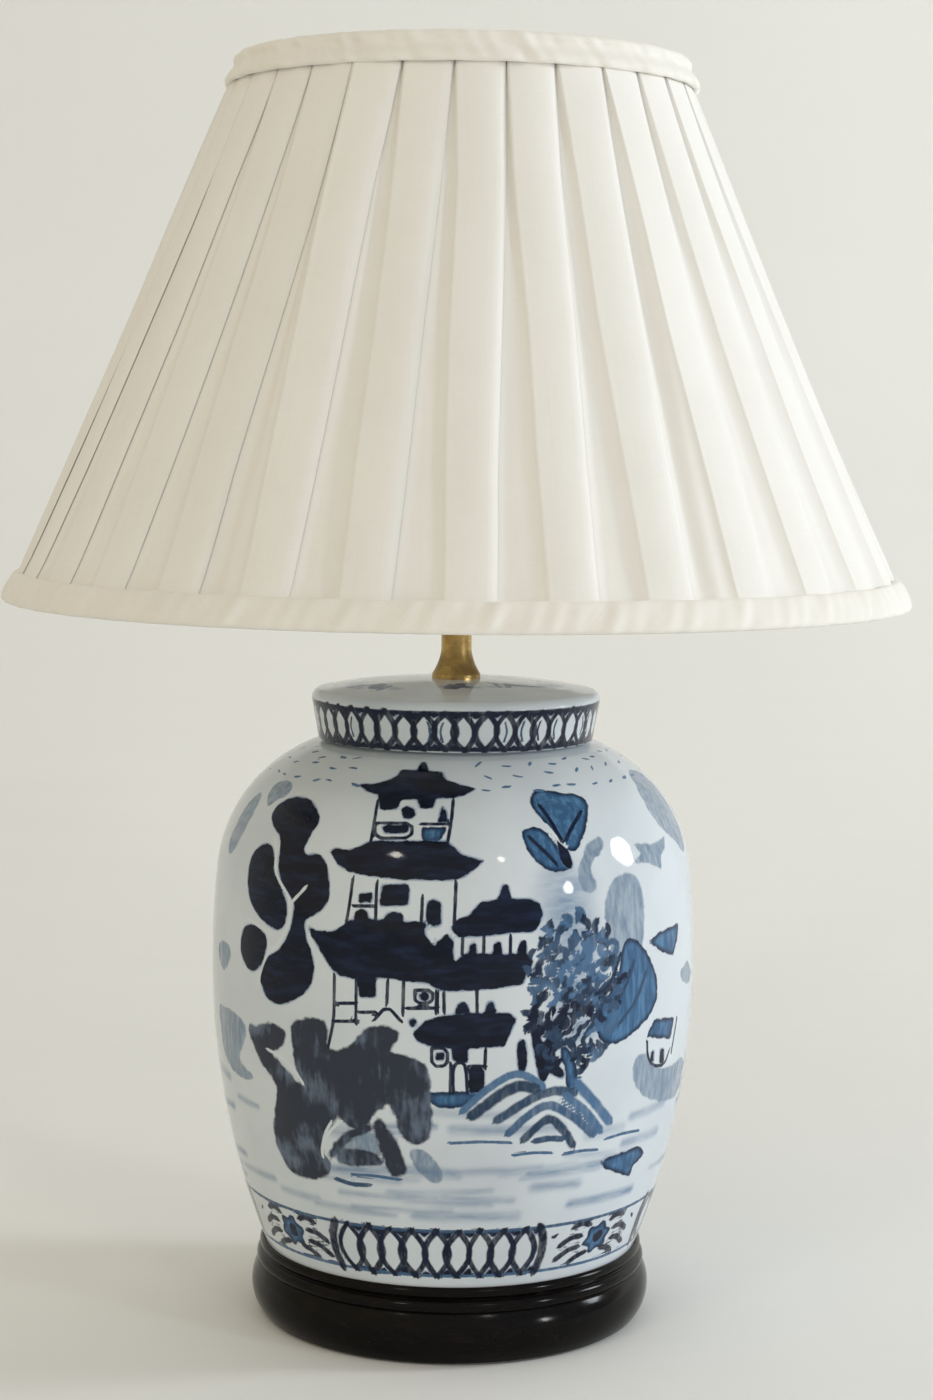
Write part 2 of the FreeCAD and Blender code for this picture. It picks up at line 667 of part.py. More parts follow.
def bulb():
    """Bayonet bulb."""
    disc = size("bulbCapRadius") - size("glassWall")
    return [
        bulbGlass(),
        bulbCap(),
        collar("bulb_insulator", 0, disc, bulbBottom, bulbBottom + size("capDisc")),
        bulbStem(),
        filaments(),
    ]


# ---- shade carrier and gimbal

bendShare = 0.45    # of the shorter run at a bend, under a half so that two bends never meet


def tangentWire(points):
    """Straight runs through points, joined by arcs that take bendShare of the shorter run."""
    edges = []
    last = points[0]
    for before, here, after in zip(points, points[1:], points[2:]):
        inward = (before - here).normalize()
        outward = (after - here).normalize()
        reach = bendShare * min((here - before).Length, (after - here).Length)
        start = here + inward * reach
        end = here + outward * reach
        half = math.acos(max(-1, min(1, inward.dot(outward)))) / 2
        radius = reach * math.tan(half)
        centre = here + (inward + outward).normalize() * (radius / math.sin(half))
        middle = centre + (here - centre).normalize() * radius
        edges.append(Part.LineSegment(last, start).toShape())
        edges.append(Part.Arc(start, middle, end).toShape())
        last = end
    edges.append(Part.LineSegment(last, points[-1]).toShape())
    return Part.Wire(edges)


def swept(path, radius):
    """A round wire along a path that starts along X."""
    first = path.Edges[0].Vertexes[0].Point
    section = Part.Wire([Part.makeCircle(radius, first, Vector(1, 0, 0))])
    return path.makePipeShell([section], True, False)


def carrierArms():
    """Two bent wires that lift the gimbal clear of the bulb."""
    wire = cell("carrierWire")
    reach = cell("carrierReach")
    foot = (carrierRingTop - size("carrierRing") / 2).value
    top = (bossBottom + size("carrierArmSeat")).value
    outline = [
        (cell("carrierRingRadius"), foot),
        (cell("carrierFootReach"), foot),
        (reach, foot + cell("carrierElbow")),
        (reach, top - cell("carrierShoulder")),
        (cell("carrierThroat"), top),
        (cell("bossRadius"), top),
    ]
    arms = []
    for side in (-1, 1):
        path = tangentWire([Vector(side * across, 0, level) for across, level in outline])
        arm = swept(path, wire)
        expected = math.pi * wire ** 2 * path.Length
        print("carrier arm volume against its length", round(arm.Volume / expected, 4))
        arms.append(arm)
    return freeShape("carrier_arms", Part.makeCompound(arms))


def carrierBoss():
    """Flanged and threaded boss, with a skirt that holds the arms clear of the tilting ring."""
    top = nutUnder + size("bossNut") + size("bossTop")
    return turned("carrier_boss", [
        corner(size("bossRadius") - size("bossWall"), bossBottom),
        corner(size("bossRadius"), bossBottom),
        corner(size("bossRadius"), flangeTop - size("bossFlange")),
        corner(size("bossFlangeRadius"), flangeTop - size("bossFlange")),
        corner(size("bossFlangeRadius"), flangeTop),
        corner(size("bossRadius"), flangeTop),
        corner(size("bossRadius"), top),
        corner(size("bossRadius") - size("bossWall"), top),
    ])


def gimbalInner():
    """Ring that turns on the boss, bored each side for the tilt pins."""
    bore = size("bossRadius") + size("runningFit")
    blank = collar("ring blank", bore, size("innerRingRadius"), gimbalUnder, gimbalOver)
    socket = size("pinSize") + size("threadClearance")
    start = size("innerRingRadius") - size("pinSocket")
    wells = [rod("rightPinWell", socket, size("pinSocket"), (start, 0, size("gimbalLevel")), "x"),
             rod("leftPinWell", socket, size("pinSocket"),
                 (size("innerRingRadius") * -1, 0, size("gimbalLevel")), "x")]
    return carved("gimbal_inner_ring", blank, wells)


def gimbalPins():
    """Two headed pins on which the shade tilts."""
    level = size("gimbalLevel")
    inner = size("innerRingRadius") - size("pinSocket")
    headStart = size("outerRingRadius") + size("runningGap")
    shank = headStart + size("pinHeadLength") - inner
    pins = []
    for side, start, head in (("right", inner, headStart),
                              ("left", (inner + shank) * -1, (headStart + size("pinHeadLength")) * -1)):
        stem = rod(f"{side}Pin", size("pinSize"), shank, (start, 0, level), "x")
        cap = rod(f"{side}PinHead", size("pinHead"), size("pinHeadLength"), (head, 0, level), "x")
        pins.append(joined(f"{side} tilt pin", [stem, cap]))
    return gathered("gimbal_pins", pins)


def slopeRadius(level, offset):
    """Radius of the shade's slope at a level, taken in by an offset square to the slope."""
    fall = (cell("shadeBottomRadius") - cell("shadeTopRadius")) / cell("shadeHeight")
    flat = cell("shadeBottomRadius") - fall * (level - cell("shadeBottom"))
    return flat - offset * math.hypot(1, fall)


def onSlope(level, offset):
    """The same radius as a formula of the sheet."""
    fall = (size("shadeBottomRadius") - size("shadeTopRadius")) / size("shadeHeight")
    stretch = root(fall * fall + 1)
    return size("shadeBottomRadius") - fall * (level - size("shadeBottom")) - stretch * offset


spiderTurns = (90, 210, 330)    # degrees from +X, clear of the tilt pins


def gimbalSpider():
    """Outer tilt ring with three arms that reach up to the shade's top ring."""
    level = cell("gimbalLevel")
    ring = Part.makeCylinder(cell("outerRingRadius"), cell("gimbalHeight"), Vector(0, 0, gimbalUnder.value))
    bore = Part.makeCylinder(cell("outerRingBore"), cell("gimbalHeight"), Vector(0, 0, gimbalUnder.value))
    radius = cell("armRadius")
    topLevel = ringLevel("top").value
    reach = slopeRadius(topLevel, cell("strutOffset"))
    start = (cell("outerRingBore") + cell("outerRingRadius")) / 2
    slope = math.hypot(reach - start, topLevel - level)
    arms = []
    for turn in spiderTurns:
        spoke = Vector(math.cos(math.radians(turn)), math.sin(math.radians(turn)), 0)
        foot = spoke * start + Vector(0, 0, level)
        head = spoke * reach + Vector(0, 0, topLevel)
        arms.append(Part.makeCylinder(radius, slope, foot, head - foot))
    pinHole = cell("pinSize") + cell("runningFit")
    width = cell("outerRingRadius") * 2
    holes = Part.makeCylinder(pinHole, width * 2, Vector(-width, 0, level), Vector(1, 0, 0))
    hoop = Part.makeTorus(reach, cell("ringWire") + cell("weldGap"), Vector(0, 0, topLevel))
    outer = Part.makeCylinder(reach, cell("shadeHeight"), Vector(0, 0, level - cell("shadeHeight") / 2))
    whole = ring.fuse(arms).cut(bore).cut(holes).cut(hoop).common(outer)
    return freeShape("gimbal_spider", whole.removeSplitter())


def carrier():
    """What stands on the lampholder and lets the shade turn and tilt."""
    nutBore = size("bossRadius") + size("threadClearance")
    return [
        carrierArms(),
        carrierBoss(),
        collar("carrier_nut", nutBore, size("bossFlangeRadius"), nutUnder, nutUnder + size("bossNut")),
        gimbalInner(),
        gimbalPins(),
        gimbalSpider(),
    ]


# ---- pleated shade

def ringLevel(end):
    """Level of the centre of a ring wire, tucked against the trim's fold."""
    inset = size("trimThickness") + size("ringWire") + size("trimLayGap")
    bottom = size("shadeBottom")
    return bottom + inset if end == "bottom" else bottom + size("shadeHeight") - inset


def wireRing(node, end):
    """One of the two hoops of the frame."""
    level = ringLevel(end)
    hoop = doc.addObject("Part::Torus", node + "Hoop")
    hoop.setExpression("Radius1", onSlope(level, size("strutOffset")).text)
    hoop.setExpression("Radius2", "Sizes.ringWire")
    hoop.setExpression("Placement.Base.z", level.text)
    hoop.Label = node
    return hoop


def spokeAt(turn):
    """Direction of a spoke, with the turn in degrees from the front and growing to the right."""
    return Vector(math.sin(math.radians(turn)), -math.cos(math.radians(turn)), 0)


def shadeStruts():
    """Straight wires between the two hoops."""
    levels = [ringLevel("bottom").value, ringLevel("top").value]
    radii = [slopeRadius(level, cell("strutOffset")) for level in levels]
    slant = math.hypot(levels[1] - levels[0], radii[1] - radii[0])
    trim = cell("ringWire") + cell("weldGap")
    count = int(round(cell("strutCount")))
    struts = []
    for number in range(count):
        spoke = spokeAt(cell("strutTurn") + 360 * number / count)
        foot = spoke * radii[0] + Vector(0, 0, levels[0])
        head = spoke * radii[1] + Vector(0, 0, levels[1])
        along = (head - foot).normalize()
        struts.append(Part.makeCylinder(cell("strutRadius"), slant - trim * 2, foot + along * trim, along))
    return freeShape("shade_struts", Part.makeCompound(struts))


def pleatWire(level, width):
    """Section of the pleated cloth: raised boxes whose left edges keep to even spokes."""
    outer = slopeRadius(level, cell("pleatOffset"))
    inner = slopeRadius(level, cell("pleatOffset") + cell("pleatDepth"))
    count = int(round(cell("strutCount") * cell("pleatsPerPanel")))
    pitch = 360 / count
    box = math.degrees(width / outer)
    points = []
    for number in range(count):
        left = cell("strutTurn") + pitch * number
        for turn, radius in ((left, inner), (left, outer), (left + box, outer), (left + box, inner)):
            points.append(spokeAt(turn) * radius + Vector(0, 0, level))
    return Part.makePolygon(points + [points[0]])


def shadePleats():
    """Cloth pleated over the frame: boxes that touch at the top and spread towards the hem."""
    gap = cell("trimThickness") + cell("trimLayGap")
    bottom = cell("shadeBottom") + gap
    top = cell("shadeBottom") + cell("shadeHeight") - gap
    count = round(cell("strutCount") * cell("pleatsPerPanel"))
    topPitch = 2 * math.pi * slopeRadius(top, cell("pleatOffset")) / count
    sections = [pleatWire(bottom, cell("pleatWidth")),
                pleatWire(top, min(cell("pleatWidth"), topPitch - cell("pleatTopGap")))]
    outside = Part.makeLoft(sections, True, True)
    inside = Part.makeCone(slopeRadius(bottom, cell("pleatInner")), slopeRadius(top, cell("pleatInner")),
                           top - bottom, Vector(0, 0, bottom))
    cloth = outside.cut(inside)
    print("pleated cloth has", len(cloth.Faces), "faces")
    return freeShape("shade_pleats", cloth)


def slopedCollar(node, bottom, top, outer, inner):
    """A skin that follows the shade's slope between two offsets."""
    return turned(node, [
        corner(onSlope(bottom, inner), bottom),
        corner(onSlope(bottom, outer), bottom),
        corner(onSlope(top, outer), top),
        corner(onSlope(top, inner), top),
    ])


def bottomTrim():
    """Binding folded round the bottom hoop."""
    bottom = size("shadeBottom")
    thick = size("trimThickness")
    top = bottom + size("trimWidth")
    hem = bottom + size("trimHem")
    nought = asTerm(0)
    innerOut = size("liningOffset") + size("liningThickness") + size("trimLayGap")
    innerIn = innerOut + thick
    return turned("bottom_trim", [
        corner(onSlope(bottom, innerIn), bottom),
        corner(onSlope(bottom, nought), bottom),
        corner(onSlope(top, nought), top),
        corner(onSlope(top, thick), top),
        corner(onSlope(bottom + thick, thick), bottom + thick),
        corner(onSlope(bottom + thick, innerOut), bottom + thick),
        corner(onSlope(hem, innerOut), hem),
        corner(onSlope(hem, innerIn), hem),
    ])


def topTrim():
    """Binding turned over the top hoop, open inside where the gimbal's arms arrive."""
    top = size("shadeBottom") + size("shadeHeight")
    thick = size("trimThickness")
    bottom = top - size("trimWidth")
    nought = asTerm(0)
    innerIn = size("liningOffset") + size("liningThickness")
    return turned("top_trim", [
        corner(onSlope(bottom, thick), bottom),
        corner(onSlope(bottom, nought), bottom),
        corner(onSlope(top, nought), top),
        corner(onSlope(top, innerIn), top),
        corner(onSlope(top - thick, innerIn), top - thick),
        corner(onSlope(top - thick, thick), top - thick),
    ])


def shade():
    """Frame, lining, pleated cloth and bindings."""
    liningBottom = ringLevel("bottom") - size("ringWire")
    liningTop = ringLevel("top") - size("ringWire") - size("armRadius")
    return [
        wireRing("shade_bottom_ring", "bottom"),
        wireRing("shade_top_ring", "top"),
        shadeStruts(),
        slopedCollar("shade_lining", liningBottom, liningTop, size("liningOffset"),
                     size("liningOffset") + size("liningThickness")),
        shadePleats(),
        bottomTrim(),
        topTrim(),
    ]


pieces = base() + jar() + lampholder() + bulb() + carrier() + shade()
doc.recompute()

for item in doc.Objects:
    if "Invalid" in item.State or "Error" in item.State:
        raise RuntimeError(f"{item.Label} failed: {item.State}")

os.makedirs("parts", exist_ok=True)
for piece in pieces:
    shape = piece.Shape
    if shape.isNull() or not shape.isValid() or not shape.Solids:
        raise RuntimeError(f"{piece.Label} has no sound solid")
    shape.exportStep(os.path.join("parts", piece.Label + ".step"))
    print(f"{piece.Label}: {len(shape.Solids)} solid(s), {shape.Volume / 1000:.2f} cm3")
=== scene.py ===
import math

import bpy
import numpy as np
from mathutils import Matrix, Vector


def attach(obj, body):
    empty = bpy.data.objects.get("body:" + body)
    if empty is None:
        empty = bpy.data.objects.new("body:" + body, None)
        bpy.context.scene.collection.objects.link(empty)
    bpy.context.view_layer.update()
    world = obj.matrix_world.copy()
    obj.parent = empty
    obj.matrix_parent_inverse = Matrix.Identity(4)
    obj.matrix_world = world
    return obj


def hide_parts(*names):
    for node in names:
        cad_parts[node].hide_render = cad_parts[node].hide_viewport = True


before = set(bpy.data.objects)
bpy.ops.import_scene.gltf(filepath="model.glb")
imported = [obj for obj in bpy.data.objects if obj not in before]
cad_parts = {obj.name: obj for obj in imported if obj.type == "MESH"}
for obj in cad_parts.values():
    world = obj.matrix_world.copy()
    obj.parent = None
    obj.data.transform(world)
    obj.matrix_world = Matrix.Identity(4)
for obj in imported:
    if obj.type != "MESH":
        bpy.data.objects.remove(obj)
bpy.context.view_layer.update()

mm = 0.001

# Turns are in degrees from the front and grow to the right; levels and radii are in millimetres.


def roundTrip(turns, radii, levels):
    # A place at each turn, radius and level: x is radius times sine, y is minus radius times cosine.
    angles = np.radians(turns)
    return np.stack(np.broadcast_arrays(radii * np.sin(angles), -radii * np.cos(angles), levels), -1)


def gridMesh(name, points, ring=True, loop=False, uv=None, fields=None, flip=False):
    # Skin over a grid: a quad between each two neighbouring rows and columns. Rows run up the outside
    # and columns run anticlockwise from above, so the faces look outwards. ring joins the last column
    # to the first, loop joins the last row to the first.
    rows, columns = points.shape[:2]
    down = np.arange(rows if loop else rows - 1)[:, None]
    across = np.arange(columns if ring else columns - 1)[None, :]
    places = [(down, across), (down, across + 1), (down + 1, across + 1), (down + 1, across)]
    if flip:
        places.reverse()
    corners = np.stack([(r % rows) * columns + c % columns for r, c in places], -1).reshape(-1)
    mesh = bpy.data.meshes.new(name)
    mesh.vertices.add(rows * columns)
    mesh.vertices.foreach_set("co", (points * mm).astype(np.float32).ravel())
    mesh.loops.add(len(corners))
    mesh.loops.foreach_set("vertex_index", corners.astype(np.int32))
    mesh.polygons.add(len(corners) // 4)
    mesh.polygons.foreach_set("loop_start", np.arange(0, len(corners), 4, dtype=np.int32))
    mesh.polygons.foreach_set("use_smooth", np.ones(len(corners) // 4, bool))
    if uv is not None:  # one row or column more than the points where the grid closes on itself
        layer = mesh.uv_layers.new(name="lay")
        flat = np.stack([uv[r + 0 * c, c + 0 * r] for r, c in places], 2).reshape(-1, 2)
        layer.data.foreach_set("uv", flat.astype(np.float32).ravel())
    for field, values in (fields or {}).items():
        held = mesh.attributes.new(field, "FLOAT_VECTOR", "POINT")
        held.data.foreach_set("vector", values.astype(np.float32).ravel())
    mesh.update(calc_edges=True)
    mesh.validate()
    piece = bpy.data.objects.new(name, mesh)
    bpy.context.scene.collection.objects.link(piece)
    return piece


def thicken(piece, thickness):
    # A wall of even thickness on the inner side of a skin.
    wall = piece.modifiers.new("wall", "SOLIDIFY")
    wall.thickness = thickness * mm
    wall.offset = -1.0
    wall.use_even_offset = False
    return piece


def arcBetween(start, end, curve, spacing):
    # Points after start on the arc that ends at end: its centre lies square to the middle of the chord,
    # on the left of the way for a positive radius and on the right for a negative one.
    start, end = np.array(start, float), np.array(end, float)
    chord = end - start
    length = math.hypot(*chord)
    square = np.array([-chord[1], chord[0]]) / length * math.copysign(1, curve)
    centre = (start + end) / 2 + square * math.sqrt(curve ** 2 - length ** 2 / 4)
    first = math.atan2(*(start - centre)[::-1])
    sweep = (math.atan2(*(end - centre)[::-1]) - first + math.pi) % (2 * math.pi) - math.pi
    turns = first + sweep * np.linspace(0, 1, max(3, round(abs(curve * sweep) / spacing) + 1))[1:]
    return centre + abs(curve) * np.stack([np.cos(turns), np.sin(turns)], 1)


def outline(corners, closed=False):
    # A profile in radius and level. Each corner is (radius, level, spacing, curve) and is reached by a
    # straight line or, where it has a curve, by an arc of that radius.
    points = [np.array([corners[0][:2]], float)]
    for before, (radius, level, spacing, *curve) in zip(corners, corners[1:]):
        if curve:
            points.append(arcBetween(before[:2], (radius, level), curve[0], spacing))
        else:
            steps = max(1, round(math.hypot(radius - before[0], level - before[1]) / spacing))
            share = np.arange(1, steps + 1)[:, None] / steps
            points.append(np.array(before[:2]) + share * (np.array([radius, level]) - before[:2]))
    points = np.concatenate(points)
    return points[:-1] if closed else points


def easedCorners(points, size):
    # Breaks each sharp corner of a closed profile with two points a little way along its edges.
    before, after = np.roll(points, 1, 0), np.roll(points, -1, 0)
    back, on = before - points, after - points
    backLength, onLength = np.hypot(*back.T), np.hypot(*on.T)
    bend = (back * on).sum(1) / (backLength * onLength)
    eased = []
    for point, b, o, bl, ol, sharp in zip(points, back, on, backLength, onLength, bend > -0.9):
        if sharp:
            reach = min(size, bl * 0.4, ol * 0.4)
            ends = point + b / bl * reach, point + o / ol * reach
            eased += [ends[0], (ends[0] + ends[1] + 2 * point) / 4, ends[1]]
        else:
            eased.append(point)
    return np.array(eased)


class Graph:
    # Places nodes in a tree and joins them; an input is either a socket or a plain value.
    def __init__(self, tree):
        self.tree = tree

    def put(self, kind, inputs=None, **settings):
        node = self.tree.nodes.new("ShaderNode" + kind)
        for key, value in settings.items():
            setattr(node, key, value)
        for key, value in (inputs or {}).items():
            self.feed(node.inputs[key], value)
        return node

    def feed(self, socket, value):
        if isinstance(value, bpy.types.NodeSocket):
            self.tree.links.new(value, socket)
        else:
            socket.default_value = value

    def calc(self, operation, *values, clamp=False):
        node = self.put("Math", operation=operation, use_clamp=clamp)
        for socket, value in zip(node.inputs, values):
            self.feed(socket, value)
        return node.outputs[0]

    def blend(self, share, first, second):
        # Inputs 0, 6 and 7 are the share and the two colours; a colour may come as three numbers.
        node = self.put("Mix", data_type="RGBA")
        for number, value in ((0, share), (6, first), (7, second)):
            colour = isinstance(value, tuple) and len(value) == 3
            self.feed(node.inputs[number], (*value, 1.0) if colour else value)
        return node.outputs[2]

    def slide(self, value, low, high, start=0.0, end=1.0):
        # Smooth step of value from low to high, put out from start to end.
        node = self.put("MapRange", {0: value, 1: low, 2: high, 3: start, 4: end},
                        interpolation_type="SMOOTHSTEP")
        return node.outputs[0]

    def noise(self, vector, scale, detail=2.0, roughness=0.5):
        return self.put("TexNoise", {"Vector": vector, "Scale": scale, "Detail": detail,
                                     "Roughness": roughness}).outputs[0]

    def stretched(self, vector, scale):
        return self.put("Mapping", {"Vector": vector, "Scale": scale}).outputs[0]

    def bump(self, height, distance):
        return self.put("Bump", {"Height": height, "Distance": distance, "Strength": 1.0}).outputs[0]


def effectGroup(name, takes, gives):
    # A shader node group with named inputs (name, kind, default) and outputs (name, kind).
    tree = bpy.data.node_groups.new(name, "ShaderNodeTree")
    for label, kind, default in takes:
        socket = tree.interface.new_socket(label, in_out="INPUT", socket_type="NodeSocket" + kind)
        if default is not None:
            socket.default_value = default
    for label, kind in gives:
        tree.interface.new_socket(label, in_out="OUTPUT", socket_type="NodeSocket" + kind)
    way = tree.nodes.new("NodeGroupInput"), tree.nodes.new("NodeGroupOutput")
    return tree, Graph(tree), way[0].outputs, way[1].inputs


def brushEdge():
    # A painted edge: 1 inside the outline and 0 outside, with a soft, slightly wandering border.
    tree, graph, takes, gives = effectGroup(
        "brushEdge",
        [("Distance", "Float", 1.0), ("Place", "Vector", None), ("Softness", "Float", 0.3),
         ("Wander", "Float", 0.3)],
        [("Mask", "Float")])
    waver = graph.noise(takes["Place"], 260.0, detail=3.0)
    around = graph.calc("SUBTRACT", waver, 0.5)
    moved = graph.calc("MULTIPLY_ADD", around, takes["Wander"], takes["Distance"])
    node = graph.put("MapRange", {0: moved, 3: 1.0, 4: 0.0}, interpolation_type="SMOOTHSTEP")
    graph.feed(node.inputs[1], graph.calc("MULTIPLY", takes["Softness"], -1.0))
    graph.feed(node.inputs[2], takes["Softness"])
    graph.feed(gives["Mask"], node.outputs[0])
    return tree


def wornMetal():
    # Tarnish and handling marks: a slow cloud with fine specks, and a height for brushed lines.
    tree, graph, takes, gives = effectGroup(
        "wornMetal",
        [("Place", "Vector", None), ("Scale", "Float", 60.0), ("Bright", "Color", (0.7, 0.5, 0.2, 1)),
         ("Dull", "Color", (0.3, 0.2, 0.1, 1)), ("Smooth", "Float", 0.25), ("Rough", "Float", 0.5)],
        [("Color", "Color"), ("Roughness", "Float"), ("Height", "Float")])
    cloud = graph.noise(takes["Place"], takes["Scale"], detail=4.0, roughness=0.6)
    speck = graph.noise(takes["Place"], 1400.0, detail=2.0)
    mask = graph.slide(graph.calc("MULTIPLY_ADD", speck, 0.25, cloud), 0.45, 0.8)
    graph.feed(gives["Color"], graph.blend(mask, takes["Bright"], takes["Dull"]))
    spread = graph.calc("SUBTRACT", takes["Rough"], takes["Smooth"])
    graph.feed(gives["Roughness"], graph.calc("MULTIPLY_ADD", mask, spread, takes["Smooth"]))
    lines = graph.noise(graph.stretched(takes["Place"], (90.0, 90.0, 2200.0)), 1.0, detail=2.0)
    graph.feed(gives["Height"], graph.calc("ADD", lines, graph.calc("MULTIPLY", speck, 0.3)))
    return tree


def wovenCloth():
    # Threads of two directions with slubs: fine bands along each thread, thicker here and there.
    tree, graph, takes, gives = effectGroup(
        "wovenCloth",
        [("Lay", "Vector", None), ("Threads", "Float", 1100.0), ("Pale", "Color", (0.9, 0.9, 0.85, 1)),
         ("Deep", "Color", (0.7, 0.68, 0.6, 1))],
        [("Color", "Color"), ("Height", "Float")])
    warp, weft = (
        graph.noise(graph.stretched(takes["Lay"], along), takes["Threads"], detail=1.0)
        for along in ((1.0, 0.05, 1.0), (0.05, 1.0, 1.0)))
    slub = graph.noise(graph.stretched(takes["Lay"], (420.0, 14.0, 1.0)), 1.0, detail=2.0)
    cloud = graph.noise(takes["Lay"], 22.0, detail=3.0)
    threads = graph.calc("MULTIPLY", graph.calc("ADD", warp, weft), 0.5)
    height = graph.calc("MULTIPLY_ADD", graph.slide(slub, 0.55, 0.8), 0.25, threads)
    tone = graph.calc("MULTIPLY_ADD", cloud, 0.6, graph.calc("MULTIPLY", height, 0.5))
    graph.feed(gives["Color"], graph.blend(graph.slide(tone, 0.35, 0.85), takes["Pale"], takes["Deep"]))
    graph.feed(gives["Height"], height)
    return tree


effects = {"brushEdge": brushEdge(), "wornMetal": wornMetal(), "wovenCloth": wovenCloth()}


def useEffect(graph, name, inputs):
    node = graph.put("Group", node_tree=effects[name])
    for key, value in inputs.items():
        graph.feed(node.inputs[key], value)
    return node.outputs


def startMaterial(name, constants):
    # A material with its Principled shader set from plain values; colours come in as three numbers.
    material = bpy.data.materials.new(name)
    material.use_nodes = True
    principled = material.node_tree.nodes["Principled BSDF"]
    for label, value in constants.items():
        principled.inputs[label].default_value = (*value, 1.0) if isinstance(value, tuple) else value
    graph = Graph(material.node_tree)
    place = graph.put("TexCoord").outputs["Object"]
    return material, graph, principled.inputs, place


def metalFinish(name, look):
    material, graph, shader, place = startMaterial(name, {"Metallic": 1.0})
    worn = useEffect(graph, "wornMetal", {
        "Place": place, "Scale": look["cloud"], "Bright": (*look["bright"], 1.0),
        "Dull": (*look["dull"], 1.0), "Smooth": look["smooth"], "Rough": look["rough"]})
    graph.feed(shader["Base Color"], worn["Color"])
    graph.feed(shader["Roughness"], worn["Roughness"])
    graph.feed(shader["Normal"], graph.bump(worn["Height"], look["brushed"] * mm))
    return material


def coatedFinish(name, look):
    # Paint, plastic or rubber: a colour that clouds slightly, with a dimpled surface.
    material, graph, shader, place = startMaterial(name, {
        "Coat Weight": look.get("coat", 0.0), "Specular IOR Level": look.get("shine", 0.5)})
    cloud = graph.noise(place, look["cloud"], detail=4.0)
    grain = graph.noise(place, look["grain"], detail=2.0)
    mixed = graph.blend(graph.slide(cloud, 0.3, 0.75), look["pale"], look["deep"])
    graph.feed(shader["Base Color"], mixed)
    graph.feed(shader["Roughness"], graph.slide(cloud, 0.2, 0.8, look["smooth"], look["rough"]))
    graph.feed(shader["Normal"], graph.bump(grain, look["dimple"] * mm))
    return material


lacquerLook = {
    "black": (0.0030, 0.0026, 0.0026), "brown": (0.0085, 0.0055, 0.0042), "dust": (0.035, 0.032, 0.03),
    "dustShare": 0.2, "smooth": 0.09, "smeared": 0.22, "grain": 0.05, "shine": 0.11,
}


def blackLacquer():
    # Turned wood under black gloss: faint brown grain, flecks of dust and hand marks in the sheen.
    look = lacquerLook
    material, graph, shader, place = startMaterial("blackLacquer", {
        "Specular IOR Level": look["shine"], "IOR": 1.5})
    grain = graph.noise(graph.stretched(place, (26.0, 260.0, 260.0)), 1.0, detail=5.0, roughness=0.6)
    smear = graph.noise(graph.stretched(place, (30.0, 30.0, 90.0)), 1.0, detail=4.0)
    fleck = graph.noise(place, 900.0, detail=2.0)
    tint = graph.blend(graph.slide(grain, 0.45, 0.8), look["black"], look["brown"])
    dust = graph.calc("MULTIPLY", graph.slide(fleck, 0.66, 0.82), look["dustShare"])
    graph.feed(shader["Base Color"], graph.blend(dust, tint, look["dust"]))
    graph.feed(shader["Roughness"], graph.slide(smear, 0.25, 0.8, look["smooth"], look["smeared"]))
    height = graph.calc("MULTIPLY_ADD", grain, 0.6, graph.calc("MULTIPLY", smear, 0.4))
    graph.feed(shader["Normal"], graph.bump(height, look["grain"] * mm))
    return material


def clothFinish(name, look):
    material, graph, shader, _ = startMaterial(name, {
        "Roughness": look["rough"], "Sheen Weight": look["sheen"], "Sheen Roughness": 0.45,
        "Specular IOR Level": 0.25})
    lay = graph.put("UVMap", uv_map="lay").outputs[0]
    woven = useEffect(graph, "wovenCloth", {
        "Lay": lay, "Threads": look["threads"],
        "Pale": (*look["pale"], 1.0), "Deep": (*look["deep"], 1.0)})
    graph.feed(shader["Base Color"], woven["Color"])
    graph.feed(shader["Normal"], graph.bump(woven["Height"], look["relief"] * mm))
    return material


def clearGlass():
    material, graph, shader, place = startMaterial("clearGlass", {
        "Transmission Weight": 1.0, "IOR": 1.46, "Base Color": (0.98, 0.99, 0.99)})
    smear = graph.noise(graph.stretched(place, (50.0, 50.0, 20.0)), 1.0, detail=3.0)
    graph.feed(shader["Roughness"], graph.slide(smear, 0.45, 0.8, 0.0, 0.06))
    return material


glazeLook = {
    "white": (0.650, 0.705, 0.750), "milky": (0.580, 0.632, 0.690), "bare": (0.42, 0.34, 0.26),
    "dark": (0.0035, 0.0060, 0.017), "darkThin": (0.011, 0.021, 0.056), "halo": (0.085, 0.165, 0.32),
    "middle": (0.034, 0.100, 0.210), "middleThin": (0.085, 0.205, 0.370),
    "middleRim": (0.0070, 0.018, 0.055),
    "ink": (0.0045, 0.0095, 0.030), "inkThin": (0.075, 0.160, 0.295),
    "grey": (0.085, 0.160, 0.265), "wash": (0.120, 0.210, 0.35), "washShare": 0.95,
    "rock": (0.031, 0.038, 0.059), "rockPale": (0.125, 0.165, 0.235),
    # widths of the darker rim, the blue halo and soft edges in millimetres
    "rimWidth": 3.2, "rimShare": 0.95, "haloWidth": 1.2, "haloShare": 0.8,
    "softness": 0.30, "wander": 2.6,
    "gloss": 0.065, "bareRough": 0.75, "ripple": 0.10, "shine": 0.18,
}


